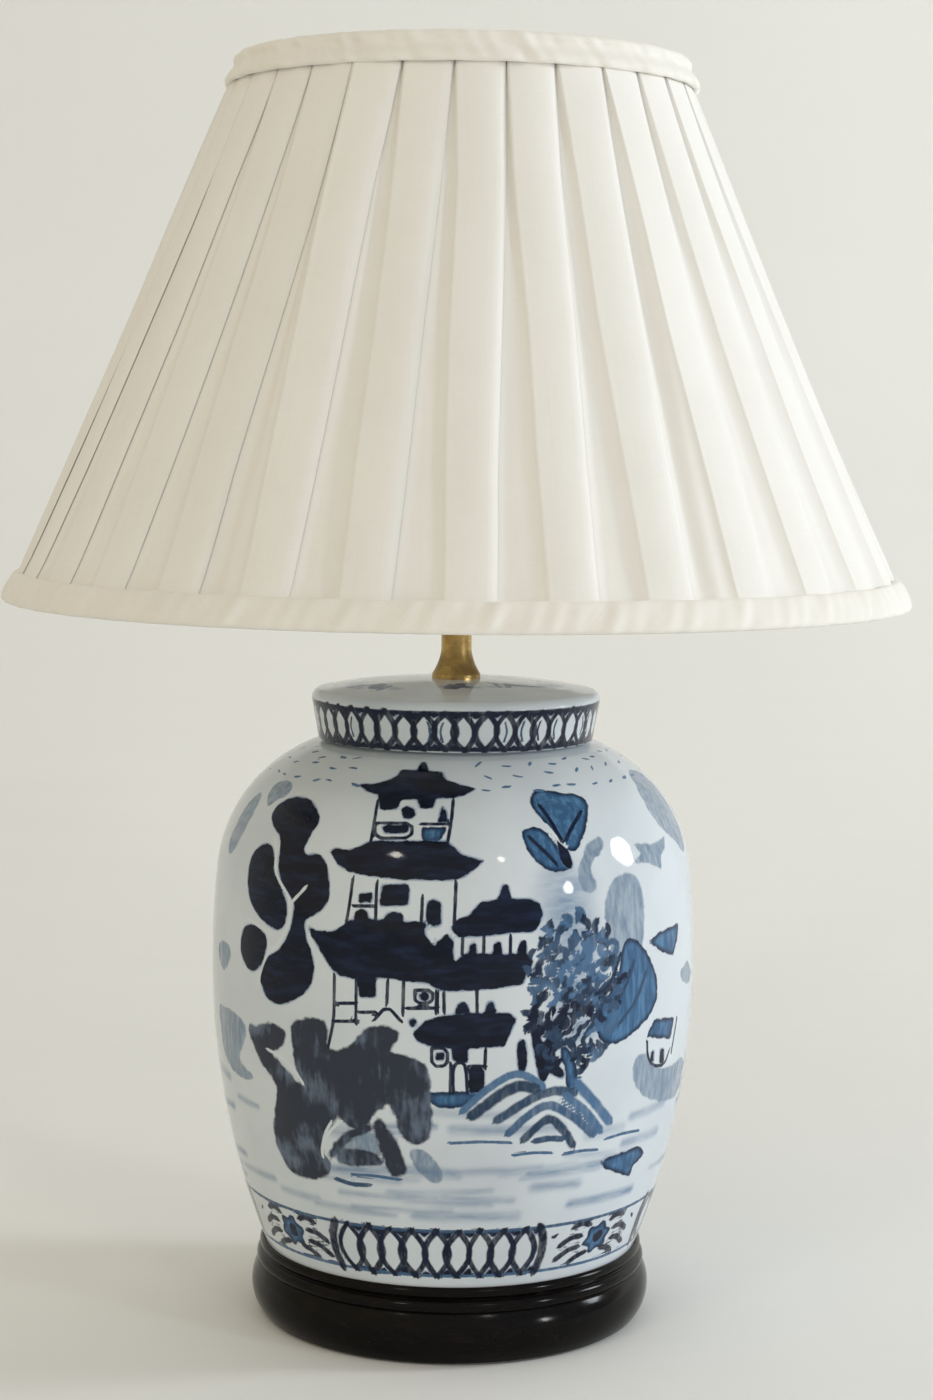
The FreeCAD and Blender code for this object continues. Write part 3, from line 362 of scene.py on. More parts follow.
def paintedGlaze():
    # Cobalt brushwork under a clear glaze. Distances to the painted outlines and strokes come with the
    # mesh, in millimetres or in stroke half-widths, and each is cut to a mask here.
    look = glazeLook
    material, graph, shader, place = startMaterial("paintedGlaze", {
        "IOR": 1.56, "Specular IOR Level": look["shine"]})

    def held(name):
        field = graph.put("Attribute", attribute_name=name).outputs["Vector"]
        return graph.put("SeparateXYZ", {0: field}).outputs

    def edge(distance, softness=look["softness"], wander=look["wander"]):
        return useEffect(graph, "brushEdge", {
            "Distance": distance, "Place": place, "Softness": softness, "Wander": wander})["Mask"]

    shapes, strokes, touches, washes = held("shapes"), held("strokes"), held("touches"), held("washes")
    cloud = graph.noise(place, 16.0, detail=4.0)
    brush = graph.noise(graph.stretched(place, (55.0, 55.0, 240.0)), 1.0, detail=4.0, roughness=0.6)
    hairs = graph.noise(graph.stretched(place, (330.0, 330.0, 70.0)), 1.0, detail=3.0, roughness=0.6)
    colour = graph.blend(graph.slide(cloud, 0.35, 0.75), look["white"], look["milky"])
    streaked = graph.calc("MULTIPLY", washes[0], graph.slide(brush, 0.25, 0.7, 0.45, 1.0))
    washed = graph.calc("MULTIPLY", streaked, look["washShare"], clamp=True)
    colour = graph.blend(washed, colour, look["wash"])
    greyMask = graph.calc("MULTIPLY", edge(shapes[2], 0.7), graph.slide(hairs, 0.2, 0.75, 0.88, 0.5))
    colour = graph.blend(greyMask, colour, look["grey"])
    middle = graph.blend(graph.slide(hairs, 0.38, 0.72), look["middle"], look["middleThin"])
    rim = graph.slide(shapes[1], -look["rimWidth"], -0.3, 0.0, look["rimShare"])
    middle = graph.blend(rim, middle, look["middleRim"])
    colour = graph.blend(edge(shapes[1], 0.45), colour, middle)
    smoke = graph.calc("MULTIPLY_ADD", hairs, 0.5, graph.noise(place, 52.0, detail=3.0))
    rock = graph.blend(graph.slide(smoke, 0.72, 1.0), look["rock"], look["rockPale"])
    colour = graph.blend(edge(washes[1], 0.9, 3.0), colour, rock)
    halo = graph.slide(shapes[0], -0.4, look["haloWidth"], look["haloShare"], 0.0)
    colour = graph.blend(halo, colour, look["halo"])
    dark = graph.blend(graph.slide(brush, 0.4, 0.8), look["dark"], look["darkThin"])
    colour = graph.blend(edge(shapes[0]), colour, dark)
    for layer in (strokes, touches):
        # inside a stroke both the side and the reach are less than one half-width
        reach = graph.calc("MAXIMUM", graph.calc("ABSOLUTE", layer[0]), layer[1])
        mask = edge(graph.calc("SUBTRACT", reach, 1.0), 0.3, 0.6)
        inked = graph.blend(graph.slide(layer[2], 0.25, 0.95), look["inkThin"], look["ink"])
        inked = graph.blend(graph.slide(layer[2], -0.1, 0.1), look["white"], inked)
        density = graph.slide(hairs, 0.15, 0.6, 0.78, 1.0)
        colour = graph.blend(graph.calc("MULTIPLY", mask, density), colour, inked)
    unglazed = graph.slide(washes[2], 0.4, 0.6)
    graph.feed(shader["Base Color"], graph.blend(unglazed, colour, look["bare"]))
    graph.feed(shader["Roughness"], graph.slide(washes[2], 0.4, 0.6, look["gloss"], look["bareRough"]))
    peel = graph.noise(place, 190.0, detail=2.0)
    slow = graph.noise(place, 38.0, detail=2.0)
    height = graph.calc("MULTIPLY_ADD", slow, 2.2, graph.calc("MULTIPLY", peel, 0.35))
    graph.feed(shader["Normal"], graph.bump(height, look["ripple"] * mm))
    return material


finishes = {
    "black_wood": blackLacquer(),
    "painted_glaze": paintedGlaze(),
    "bulb_glass": clearGlass(),
    "aged_brass": metalFinish("agedBrass", {
        "bright": (0.52, 0.35, 0.125), "dull": (0.27, 0.18, 0.075), "smooth": 0.24, "rough": 0.46,
        "cloud": 75.0, "brushed": 0.03}),
    "holder_brass": metalFinish("holderBrass", {
        "bright": (0.72, 0.52, 0.22), "dull": (0.50, 0.34, 0.13), "smooth": 0.14, "rough": 0.32,
        "cloud": 55.0, "brushed": 0.015}),
    "carrier_metal": metalFinish("carrierBrass", {
        "bright": (0.66, 0.50, 0.24), "dull": (0.42, 0.30, 0.14), "smooth": 0.22, "rough": 0.42,
        "cloud": 70.0, "brushed": 0.02}),
    "steel": metalFinish("zincSteel", {
        "bright": (0.60, 0.60, 0.57), "dull": (0.40, 0.39, 0.35), "smooth": 0.26, "rough": 0.5,
        "cloud": 90.0, "brushed": 0.03}),
    "bulb_metal": metalFinish("pressedAluminium", {
        "bright": (0.76, 0.76, 0.77), "dull": (0.58, 0.58, 0.58), "smooth": 0.2, "rough": 0.4,
        "cloud": 120.0, "brushed": 0.02}),
    "gimbal_metal": coatedFinish("whiteGimbalPaint", {
        "pale": (0.80, 0.79, 0.75), "deep": (0.72, 0.70, 0.64), "smooth": 0.3, "rough": 0.45,
        "cloud": 60.0, "grain": 1600.0, "dimple": 0.02}),
    "frame_wire": coatedFinish("whiteWirePaint", {
        "pale": (0.82, 0.81, 0.77), "deep": (0.75, 0.73, 0.68), "smooth": 0.3, "rough": 0.5,
        "cloud": 50.0, "grain": 1500.0, "dimple": 0.03}),
    "filament": coatedFinish("phosphorCoat", {
        "pale": (0.93, 0.76, 0.33), "deep": (0.85, 0.62, 0.20), "smooth": 0.5, "rough": 0.65,
        "cloud": 300.0, "grain": 2500.0, "dimple": 0.02}),
    "moulded_insulator": coatedFinish("darkMoulding", {
        "pale": (0.055, 0.047, 0.044), "deep": (0.035, 0.030, 0.028), "smooth": 0.35, "rough": 0.5,
        "cloud": 120.0, "grain": 1800.0, "dimple": 0.02}),
    "black_plastic": coatedFinish("blackPlastic", {
        "pale": (0.022, 0.022, 0.022), "deep": (0.014, 0.014, 0.014), "smooth": 0.25, "rough": 0.42,
        "cloud": 100.0, "grain": 1600.0, "dimple": 0.02}),
    "rubber": coatedFinish("gasketRubber", {
        "pale": (0.05, 0.048, 0.045), "deep": (0.03, 0.03, 0.03), "smooth": 0.6, "rough": 0.85,
        "cloud": 90.0, "grain": 1200.0, "dimple": 0.04, "shine": 0.3}),
    "cork": coatedFinish("pressedCork", {
        "pale": (0.50, 0.33, 0.17), "deep": (0.24, 0.14, 0.07), "smooth": 0.8, "rough": 0.95,
        "cloud": 420.0, "grain": 700.0, "dimple": 0.25, "shine": 0.2}),
    "felt": coatedFinish("blackFelt", {
        "pale": (0.050, 0.050, 0.050), "deep": (0.018, 0.018, 0.019), "smooth": 0.9, "rough": 1.0,
        "cloud": 900.0, "grain": 1500.0, "dimple": 0.25, "shine": 0.1}),
    "pleated_cloth": clothFinish("ivoryPleats", {
        "pale": (0.87, 0.853, 0.815), "deep": (0.835, 0.813, 0.765), "threads": 1500.0, "relief": 0.07,
        "rough": 0.72, "sheen": 0.25}),
    "lining_cloth": clothFinish("paleLining", {
        "pale": (0.86, 0.84, 0.79), "deep": (0.80, 0.78, 0.72), "threads": 1500.0, "relief": 0.06,
        "rough": 0.7, "sheen": 0.15}),
    "binding_cloth": clothFinish("biasBinding", {
        "pale": (0.865, 0.84, 0.79), "deep": (0.82, 0.79, 0.725), "threads": 1300.0, "relief": 0.09,
        "rough": 0.75, "sheen": 0.2}),
}

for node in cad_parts.values():
    for held in node.material_slots:
        held.material = finishes[held.material.name.split(".")[0]]
print("materials on", len(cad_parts), "carried-over nodes")


def settle(piece, body, slot, *nodes):
    # Finish, body and the nodes that a new piece stands for.
    piece.data.materials.append(finishes[slot])
    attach(piece, body)
    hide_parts(*nodes)


def softened(points, times, closed=True, most=3.0):
    # Corner cutting: each edge keeps two points, a quarter in from its ends or at most so far in.
    points = np.asarray(points, float)
    for _ in range(times):
        after = np.roll(points, -1, 0) if closed else points[1:]
        here = points if closed else points[:-1]
        length = np.hypot(*(after - here).T)[:, None]
        step = (after - here) * np.minimum(0.25, most / np.maximum(length, 1e-6))
        cut = np.stack([here + step, after - step], 1).reshape(-1, 2)
        points = cut if closed else np.vstack([points[:1], cut[1:-1], points[-1:]])
    return points


def edgeReach(x, y, first, last):
    # For places x, y: the nearest distance to the edges first to last, and the side at the nearest one.
    edge = last - first
    px, py = x[..., None] - first[:, 0], y[..., None] - first[:, 1]
    share = (px * edge[:, 0] + py * edge[:, 1]) / np.maximum((edge ** 2).sum(1), 1e-9)
    share = np.clip(share, 0, 1)
    gaps = np.hypot(px - share * edge[:, 0], py - share * edge[:, 1])
    nearest = gaps.argmin(-1)[..., None]
    side = np.take_along_axis(px * edge[:, 1] - py * edge[:, 0], nearest, -1)[..., 0]
    return np.take_along_axis(gaps, nearest, -1)[..., 0], np.where(side < 0, -1.0, 1.0)


def insideOf(x, y, first, last):
    # Even-odd rule: how often a ray to the right crosses the outline.
    rise = last[:, 1] - first[:, 1]
    rise = np.where(rise == 0, 1e-9, rise)
    above = (first[:, 1] > y[..., None]) != (last[:, 1] > y[..., None])
    meets = first[:, 0] + (y[..., None] - first[:, 1]) * (last[:, 0] - first[:, 0]) / rise
    return (above & (x[..., None] < meets)).sum(-1) % 2 == 1


class Brushwork:
    # Distance fields of the painting at the grid points of one turned surface: millimetres for shapes,
    # stroke half-widths for strokes. Places are (turn, along), along the profile from its foot.
    # shapes holds dark, middle and grey outlines, and washes holds wash, rock outlines and bare clay.
    far = 6.0

    def __init__(self, turns, radii, along, cell):
        self.turns, self.radii, self.along, self.cell = turns, radii, along, cell
        size = len(along), len(turns)
        self.shapes = np.full((*size, 3), self.far)
        self.layers = [np.stack([np.full(size, self.far), np.full(size, self.far), np.zeros(size)], -1)
                       for _ in range(2)]
        self.washes = np.zeros((*size, 3))
        self.washes[..., 1] = self.far

    def window(self, points, margin):
        # Grid rows and columns round some points, and their places laid flat round the middle turn.
        middle = (points[:, 0].min() + points[:, 0].max()) / 2
        low, high = points[:, 1].min() - margin, points[:, 1].max() + margin
        rows = np.nonzero((self.along >= low) & (self.along <= high))[0]
        if not len(rows):
            return None
        radius = self.radii[rows].min()
        offset = (self.turns - middle + 180) % 360 - 180
        half = (points[:, 0].max() - points[:, 0].min()) / 2 + math.degrees(margin / radius)
        columns = np.nonzero(np.abs(offset) <= half)[0]
        if not len(columns):
            return None
        x = np.radians(offset[columns])[None, :] * self.radii[rows][:, None]
        y = np.broadcast_to(self.along[rows][:, None], x.shape)
        pointRadii = np.interp(points[:, 1], self.along, self.radii)
        flat = np.stack([np.radians(points[:, 0] - middle) * pointRadii, points[:, 1]], 1)
        return np.ix_(rows, columns), x, y, flat

    def shape(self, kind, points, rounds=2):
        # A filled outline: the nearest distance, negative inside.
        found = self.window(np.asarray(points, float), self.far)
        if found is None:
            return
        place, x, y, flat = found
        built = rounds == 1  # roofs and windows keep their corners; leaves and rocks swell a little
        flat = softened(flat, rounds, most=0.5 if built else 3.0)
        after = np.roll(flat, -1, 0)
        gap, _ = edgeReach(x, y, flat, after)
        gap = np.where(insideOf(x, y, flat, after), -gap, gap) - (0.1 if built else 0.6)
        if kind == "bare":  # wiped out of what is painted so far
            self.shapes[place] = np.maximum(self.shapes[place], -gap[..., None])
            self.washes[..., 1][place] = np.maximum(self.washes[..., 1][place], -gap)
        else:
            field = (self.washes[..., 1] if kind == "rock"
                     else self.shapes[..., ("dark", "middle", "grey").index(kind)])
            field[place] = np.minimum(field[place], gap)

    def stroke(self, points, half, tone=1.0, layer=0, rounds=2):
        # A thin stroke, kept as a signed side and a reach so that it stays crisp between grid points.
        found = self.window(np.asarray(points, float), self.far * half)
        if found is None:
            return
        place, x, y, flat = found
        flat = softened(flat, rounds, closed=False)
        gap, side = edgeReach(x, y, flat[:-1], flat[1:])
        field = self.layers[layer][place]
        nearer = gap / half < np.abs(field[..., 0])
        new = np.stack([side * gap / half, (gap - self.cell / 2) / half, np.full_like(gap, tone)], -1)
        self.layers[layer][place] = np.where(nearer[..., None], new, field)

    def ring(self, along, half, tone=1.0, layer=0, waver=0.25):
        # A banding line right round, which wavers a little as the wheel turns.
        swing = np.radians(self.turns)
        slip = waver * (np.sin(swing * 2 + along) + 0.5 * np.sin(swing * 5 + 2 * along))
        side = self.along[:, None] - along - slip[None, :]
        gap = np.abs(side)
        field = self.layers[layer]
        nearer = gap / half < np.abs(field[..., 0])
        new = np.stack([side / half, (gap - self.cell / 2) / half, np.full_like(gap, tone)], -1)
        self.layers[layer] = np.where(nearer[..., None], new, field)

    def wash(self, points, half, strength=1.0):
        # A soft watery stroke that fades towards its sides and ends.
        found = self.window(np.asarray(points, float), half)
        if found is None:
            return
        place, x, y, flat = found
        flat = softened(flat, 2, closed=False)
        gap, _ = edgeReach(x, y, flat[:-1], flat[1:])
        fade = np.clip(1 - gap / half, 0, 1)
        field = self.washes[..., 0]
        field[place] = np.maximum(field[place], strength * fade * fade * (3 - 2 * fade))

    def fields(self):
        limit = np.array([self.far] * 3)
        return {"shapes": np.clip(self.shapes, -limit, limit).reshape(-1, 3),
                "strokes": np.clip(self.layers[0], -limit, limit).reshape(-1, 3),
                "touches": np.clip(self.layers[1], -limit, limit).reshape(-1, 3),
                "washes": self.washes.reshape(-1, 3)}


def latticeBand(work, first, last, pitch, low, high, half, seed, wobble=0.5):
    # Painted net: pointed ovals side by side between two levels, each with its own slight slip.
    # The right sides lie in one layer and the left sides in the other.
    hand = np.random.default_rng(seed)
    count = max(1, round((last - first) / pitch))
    pitch = (last - first) / count
    share = np.linspace(0, 1, 9)
    swell = np.sin(np.pi * share) ** 0.9
    for number in range(count):
        middle = first + pitch * (number + 0.5) + hand.normal(0, wobble * 0.25)
        lean = hand.normal(0, wobble * 0.6)
        ends = low + hand.normal(0, 0.25), high + hand.normal(0, 0.25)
        along = ends[0] + (ends[1] - ends[0]) * share
        for layer, way in enumerate((1, -1)):
            reach = pitch * (0.56 + hand.normal(0, 0.025))
            turn = middle + lean * (share - 0.5) + way * reach * swell
            work.stroke(np.stack([turn, along], 1), half * hand.uniform(0.85, 1.2), layer=layer,
                        tone=hand.uniform(0.85, 1.0), rounds=1)
        # where two ovals part, the brush leaves a wedge of blue above and below
        side = first + pitch * (number + 1)
        for end, way in ((ends[0], 1), (ends[1], -1)):
            deep = (high - low) * hand.uniform(0.11, 0.2)
            work.shape("dark", [(side - pitch * 0.3, end), (side + pitch * 0.3, end),
                                (side, end + way * deep)], 1)


jar = {
    "foot": (95.4, 37.0), "floor": 41.0, "footRing": 9.0, "hole": 6.5,
    "belly": (123.4, 180.0), "waist": (120.9, 230.0), "shoulder": (74.9, 294.0), "neck": (64.5, 296.3),
    "neckTop": 312.0, "wall": 6.0, "neckWall": 5.0, "curves": (378.0, 460.0, 76.0),
    "paintedStep": 1.45, "plainStep": 9.0, "thrownWobble": 0.22,
    "frontTurn": 0.66, "sideTurn": 0.86, "backTurn": 1.2,
    "frontReach": (-38.0, 41.0), "sideReach": 77.0,
}


def jarOutline():
    # Outside from the hole in the floor over foot, belly and shoulder to the neck, then down inside.
    form = jar
    (footR, footZ), (bellyR, bellyZ), (waistR, waistZ) = form["foot"], form["belly"], form["waist"]
    (shoulderR, shoulderZ), (neckR, neckZ) = form["shoulder"], form["neck"]
    first, second, third = form["curves"]
    wall, fine, plain = form["wall"], form["paintedStep"], form["plainStep"]
    ringR = footR - form["footRing"]
    corners = [
        (form["hole"], form["floor"], plain), (ringR, form["floor"], 30.0), (ringR, footZ, plain),
        (footR, footZ, plain), (bellyR, bellyZ, fine, first), (waistR, waistZ, fine, second),
        (shoulderR, shoulderZ, fine, third), (neckR, neckZ, 1.2), (neckR, form["neckTop"], 4.0),
        (neckR - form["neckWall"], form["neckTop"], plain), (neckR - form["neckWall"], 294.0, plain),
        (waistR - wall, waistZ, plain, wall - third),
        (bellyR - wall, bellyZ, plain * 1.6, wall - second),
        (footR - wall + 0.6, form["floor"] + wall, plain * 1.6, wall - first),
        (form["hole"], form["floor"] + wall, 30.0), (form["hole"], form["floor"], plain),
    ]
    return easedCorners(outline(corners, closed=True), 1.1)


def jarTurns():
    # Columns lie closer together in front, where the brushwork is finest.
    form = jar
    left, right = form["frontReach"]
    side = form["sideReach"]
    spans = [(left, right, form["frontTurn"]), (right, side, form["sideTurn"]),
             (side, 360 - side, form["backTurn"]), (360 - side, 360 + left, form["sideTurn"])]
    return np.concatenate([np.linspace(start, end, round((end - start) / step), endpoint=False)
                           for start, end, step in spans])


# The landscape in front, by brush: rounds is how often the corners are cut; places are (turn, level).
landscape = {
    "topRoof": ("dark", 1, [(-29.4, 283), (-24.4, 283.5), (-20.5, 285.5), (-18.5, 287.3),
        (-17.9, 289.8), (-14.6, 290), (-12.5, 290.1), (-12, 293.3), (-10.6, 293.3), (-8.7, 289.9),
        (-4, 289.6), (-2.6, 286.4), (1.1, 284.8), (6.3, 282.8), (2.9, 280.3), (-0.5, 279), (-5, 278.9),
        (-5.6, 274.7), (-9.1, 274.5), (-10.3, 278.2), (-15.1, 277.9), (-15.3, 273.6), (-20, 273.2),
        (-22, 279.5), (-26, 280.4)]),
    "middleRoof": ("dark", 1, [(-30.6, 253.1), (-29.1, 254.7), (-26.6, 253.8), (-23.6, 255.5),
        (-21, 258.6), (-17.9, 259.4), (-1.7, 260.5), (-0.2, 258.3), (2.1, 254.4), (7.1, 251.7),
        (5.2, 248.5), (2.5, 244.5), (-0.4, 243), (-12.4, 242.8), (-20.1, 243.7), (-24.6, 244.9),
        (-27.6, 247.2)]),
    "lowRoof": ("dark", 1, [(-34.4, 217), (-32.2, 215.1), (-28, 215.6), (-25.4, 218.5), (-23.5, 222.1),
        (-18.9, 223.4), (-10.1, 223), (-6, 223.3), (-4.8, 216.8), (-3, 214.1), (-1.2, 217.9),
        (0.1, 215.1), (0.3, 205.7), (2.3, 202), (-0.1, 197.2), (-0.6, 191.5), (-3.1, 191.8),
        (-5.1, 194.6), (-11.1, 195.5), (-13.1, 196.2), (-17, 196.1), (-16.9, 186.6), (-20.6, 186),
        (-21.3, 194.5), (-25.7, 195.5), (-27.8, 198.4), (-30.3, 205), (-32.8, 211.6)]),
    "eaveGap": ("bare", 2, [(-6.1, 219.6), (-4.8, 214), (-3.5, 212.2), (-4.1, 217.8), (-5.2, 220.5)]),
    "winA": ("dark", 1, [(-14, 273.7), (-12.8, 275.1), (-10.7, 274), (-10, 271.4), (-11.2, 269.6),
        (-13.1, 269.9)]),
    "winB": ("dark", 1, [(-3.2, 275.6), (-1.9, 273.1), (-1.6, 268.8), (-3.9, 268.7), (-3.7, 272.1)]),
    "winC": ("dark", 1, [(-18.3, 266), (-11.8, 267), (-11.2, 264.8), (-11.8, 263.5), (-17.2, 263)]),
    "winD": ("middle", 1, [(-7.9, 266.3), (-1.6, 266.6), (-2.4, 263.1), (-3.4, 260), (-7, 259.8),
        (-8, 262.4)]),
    "winE": ("dark", 1, [(-21.6, 234.7), (-18.4, 235.6), (-18.4, 231.4), (-21.5, 231)]),
    "winF": ("dark", 1, [(-16.3, 239.6), (-10.5, 240.7), (-9.8, 237.9), (-10, 231), (-16.5, 229.8)]),
    "winG": ("dark", 1, [(-22.7, 221.8), (-22.2, 226.1), (-21, 227.7), (-19.6, 227), (-18.8, 222.9)]),
    "winH": ("dark", 1, [(-15.6, 222.4), (-14.9, 226.3), (-13.2, 227.4), (-11.4, 226.6),
        (-10.8, 222.5)]),
    "winI": ("dark", 1, [(-5.7, 232.7), (-4.2, 234.1), (-2.6, 232.4), (-2.5, 222.1), (-4.1, 221.1),
        (-5.8, 223.3)]),
    "winJ": ("dark", 1, [(-7.2, 189.2), (-5.5, 190.3), (-4.8, 187.9), (-5.4, 186), (-6.9, 186.4)]),
    "winK": ("dark", 1, [(-9.5, 176.5), (-8, 177.6), (-7.5, 174.8), (-8.8, 173.2)]),
    "roofA": ("dark", 1, [(-0.3, 220.7), (1.1, 224.5), (3.6, 226.4), (5.7, 231.6), (6.6, 232.9),
        (10.2, 233.8), (11.4, 241.1), (12.7, 240.1), (13, 234.1), (17.7, 233.8), (19.7, 231.7),
        (20.6, 226.4), (19.7, 221.8), (18.2, 218.2), (14.4, 218.5), (7.2, 217), (1.4, 216.6)]),
    "wallA1": ("dark", 1, [(3.5, 208.1), (4, 213.3), (5.1, 213.7), (5.5, 208.1)]),
    "wallA2": ("dark", 1, [(8.9, 208), (9.6, 214.1), (10.7, 214), (11.1, 207.9)]),
    "wallA3": ("dark", 1, [(14.5, 207.7), (15.3, 214.2), (16.4, 214.1), (16.8, 207.4)]),
    "roofB": ("dark", 1, [(-3.1, 191.4), (-1.2, 198.6), (0.7, 203.4), (1.8, 207.2), (3.3, 208.6),
        (17, 207.9), (18.2, 204), (16.9, 199.4), (15.8, 193.8), (9.9, 192.3), (0, 191)]),
    "wallB1": ("dark", 1, [(0.8, 180.1), (1.4, 184.9), (2.7, 185.8), (3.6, 183.9), (3.9, 180.1)]),
    "wallB2": ("dark", 1, [(7.4, 180.5), (7.8, 185.7), (9.1, 186.1), (9.8, 180.8)]),
    "roofC": ("dark", 1, [(-8.3, 170.4), (-5.7, 176.4), (-1.8, 179), (3.4, 180.5), (12.7, 180.1),
        (14.4, 177.1), (13.1, 171), (11.6, 164.3), (3.6, 163.7), (-3.8, 164), (-7.4, 166.6)]),
    "pillarC": ("dark", 1, [(0.1, 164.6), (3.6, 164.7), (3.7, 156.9), (2.2, 156.4), (0.4, 157.8)]),
    "winL": ("dark", 1, [(-3.4, 161.1), (-1.6, 161.6), (-1.6, 157.8), (-3.3, 157.7)]),
    "doorC": ("dark", 1, [(4, 141.6), (4, 153), (4.9, 155.4), (6.4, 155.4), (7.3, 152.9),
        (7.5, 141.5)]),
    "plinthC": ("middle", 1, [(-5, 141.8), (3.9, 142.6), (7.3, 141.5), (5.4, 138.1), (2.3, 134.2),
        (-2.7, 134.1), (-4.5, 136)]),
    "leafL1": ("dark", 2, [(-54, 264.1), (-54.5, 268.7), (-52, 272.4), (-48.2, 274.6), (-42.2, 273.8),
        (-38, 268.6), (-36.6, 264.8), (-37.9, 260.5), (-38.2, 255.8), (-39, 252.9), (-37.5, 249),
        (-34.7, 251), (-31.9, 248.8), (-30.4, 243.5), (-29.5, 236.2), (-29.6, 229.5), (-32, 224.2),
        (-35.3, 221.1), (-35.9, 217.1), (-35, 210.1), (-32.6, 201.2), (-32.7, 192.4), (-34.2, 186.2),
        (-38.5, 180.1), (-42.6, 176.9), (-46.7, 178.9), (-48.6, 185.6), (-48.8, 191.5), (-47.1, 197.9),
        (-43.1, 201.6), (-41.2, 206.1), (-39.4, 212.9), (-38.8, 218.8), (-38.6, 224.6), (-38.6, 227.5),
        (-41.3, 232.6), (-44.2, 238.1), (-45.3, 245.8), (-45.8, 252.8), (-47.3, 257.2),
        (-50.4, 259.7)]),
    "leafL2": ("dark", 2, [(-55, 248.1), (-52.8, 251.6), (-49.7, 251.4), (-47.8, 247.6), (-46.8, 239.8),
        (-44.3, 234.2), (-41.8, 228.1), (-41.1, 223), (-41.6, 215.6), (-43.8, 212.6), (-48.5, 216),
        (-52.8, 221), (-55.7, 228.5), (-56.4, 238), (-56.2, 244.9)]),
    "leafL3": ("dark", 2, [(-56.5, 210), (-52.3, 212.4), (-48.7, 210.1), (-47.2, 206.7), (-47.5, 200.7),
        (-49.2, 193.8), (-51.8, 189.9), (-54.4, 191.5), (-56.9, 196), (-57.5, 202.3)]),
    "wispL1": ("grey", 2, [(-64.1, 277.5), (-60.5, 279.7), (-54.4, 279.4), (-52.9, 274.6), (-56.7, 272),
        (-58.2, 267.9), (-61.9, 271.8)]),
    "wispL2": ("grey", 2, [(-72.6, 195.5), (-66.6, 199.3), (-62.8, 196.3), (-63.6, 190), (-67.7, 183.8),
        (-70.3, 188.3)]),
    "shoulderL": ("grey", 2, [(-67.4, 273.9), (-64.4, 266.9), (-64.4, 257.2), (-66.5, 244.8),
        (-70.2, 241.7), (-72.3, 248), (-71.7, 258.2), (-71.4, 267.1)]),
    "rockLeg2": ("rock", 2, [(-30.2, 104.2), (-28.5, 110.9), (-25.3, 117.9), (-21, 122.5),
        (-18.1, 123.6), (-19.1, 120.4), (-22.9, 117), (-26, 111.6), (-28.5, 105.3)]),
    "rock1": ("rock", 2, [(-54.2, 162.7), (-50.4, 162.2), (-46.7, 166.6), (-42.9, 165.9),
        (-40.6, 163.8), (-40.7, 159.3), (-43, 154.5), (-46.2, 152.8), (-43.8, 149.2), (-40.4, 143.9),
        (-36.8, 138.2), (-33.1, 137.4), (-28.9, 139.6), (-25.1, 135.6), (-26, 129.4), (-27.7, 123.9),
        (-29.6, 118.2), (-31.8, 112.4), (-32.4, 107.1), (-30.3, 102.6), (-30, 98), (-32.1, 93.7),
        (-35.6, 90.9), (-39.9, 90.9), (-43.7, 92.5), (-45.6, 98.5), (-47.3, 106.6), (-46.6, 117.2),
        (-44.8, 128.1), (-43.6, 135.7), (-46.6, 140.6), (-49.7, 146.4), (-52.6, 154.8)]),
    "rock2": ("rock", 2, [(-38.8, 166.3), (-37.5, 170.6), (-32.7, 173), (-29.5, 172.9), (-28.7, 167.8),
        (-28.9, 158.9), (-26.1, 158.1), (-23.1, 160.8), (-20.5, 167.2), (-18.8, 171.4), (-15.4, 172.9),
        (-12.4, 171.9), (-11.4, 169.1), (-13.2, 163.5), (-13.7, 160.5), (-10, 158.6), (-6.4, 156.5),
        (-4.9, 152.7), (-5, 142.9), (-4.3, 134), (-4.2, 125.5), (-5.3, 117.8), (-7.4, 115.6),
        (-10, 116.9), (-11.6, 121.2), (-12.3, 129.6), (-14.1, 136.4), (-15.3, 132.7), (-17.7, 131.3),
        (-19.1, 123.4), (-22.9, 120), (-25.3, 124.5), (-27.9, 128.8), (-32.4, 133.6), (-35.7, 139),
        (-37.8, 148.3), (-38.2, 158.1)]),
    "rockFoot": ("rock", 2, [(-28.1, 107.4), (-24.5, 109.4), (-20.6, 110.4), (-16.9, 108.1),
        (-15.7, 103.7), (-19.5, 102.9), (-24.8, 101.6), (-27.5, 102.4)]),
    "rockLeg": ("rock", 2, [(-17.8, 126.2), (-16.1, 127), (-14.5, 121.7), (-12.8, 117), (-11.7, 111),
        (-10.1, 101.9), (-11.9, 98.6), (-14.6, 99.2), (-15.4, 106.3), (-16.7, 115.2), (-17.6, 121.2)]),
    "rockSmall": ("grey", 2, [(-9.6, 111.3), (-7.2, 113.1), (-4.6, 109.7), (-2.2, 103.2), (-1.9, 97.5),
        (-3.6, 95.3), (-6, 99.3), (-8.2, 104.2)]),
    "rockWash": ("grey", 2, [(-25.4, 114.3), (-21.7, 118.3), (-17.9, 120.1), (-16.8, 113.7),
        (-16.4, 107.6), (-20.6, 109.8), (-24.5, 109.4), (-26.9, 108.8)]),
    "bankL": ("grey", 2, [(-72.1, 165.6), (-63.4, 165.9), (-57.9, 164.2), (-54.7, 159.5),
        (-57.4, 150.2), (-60.4, 143.9), (-57.7, 139), (-52.3, 136.2), (-58.1, 133.2), (-64.9, 135.7),
        (-70.4, 142.3), (-70.9, 153.4)]),
    "leafR1": ("middle", 2, [(22.1, 279.4), (25.4, 281.7), (28.8, 281), (31.5, 279.5), (35.9, 279.1),
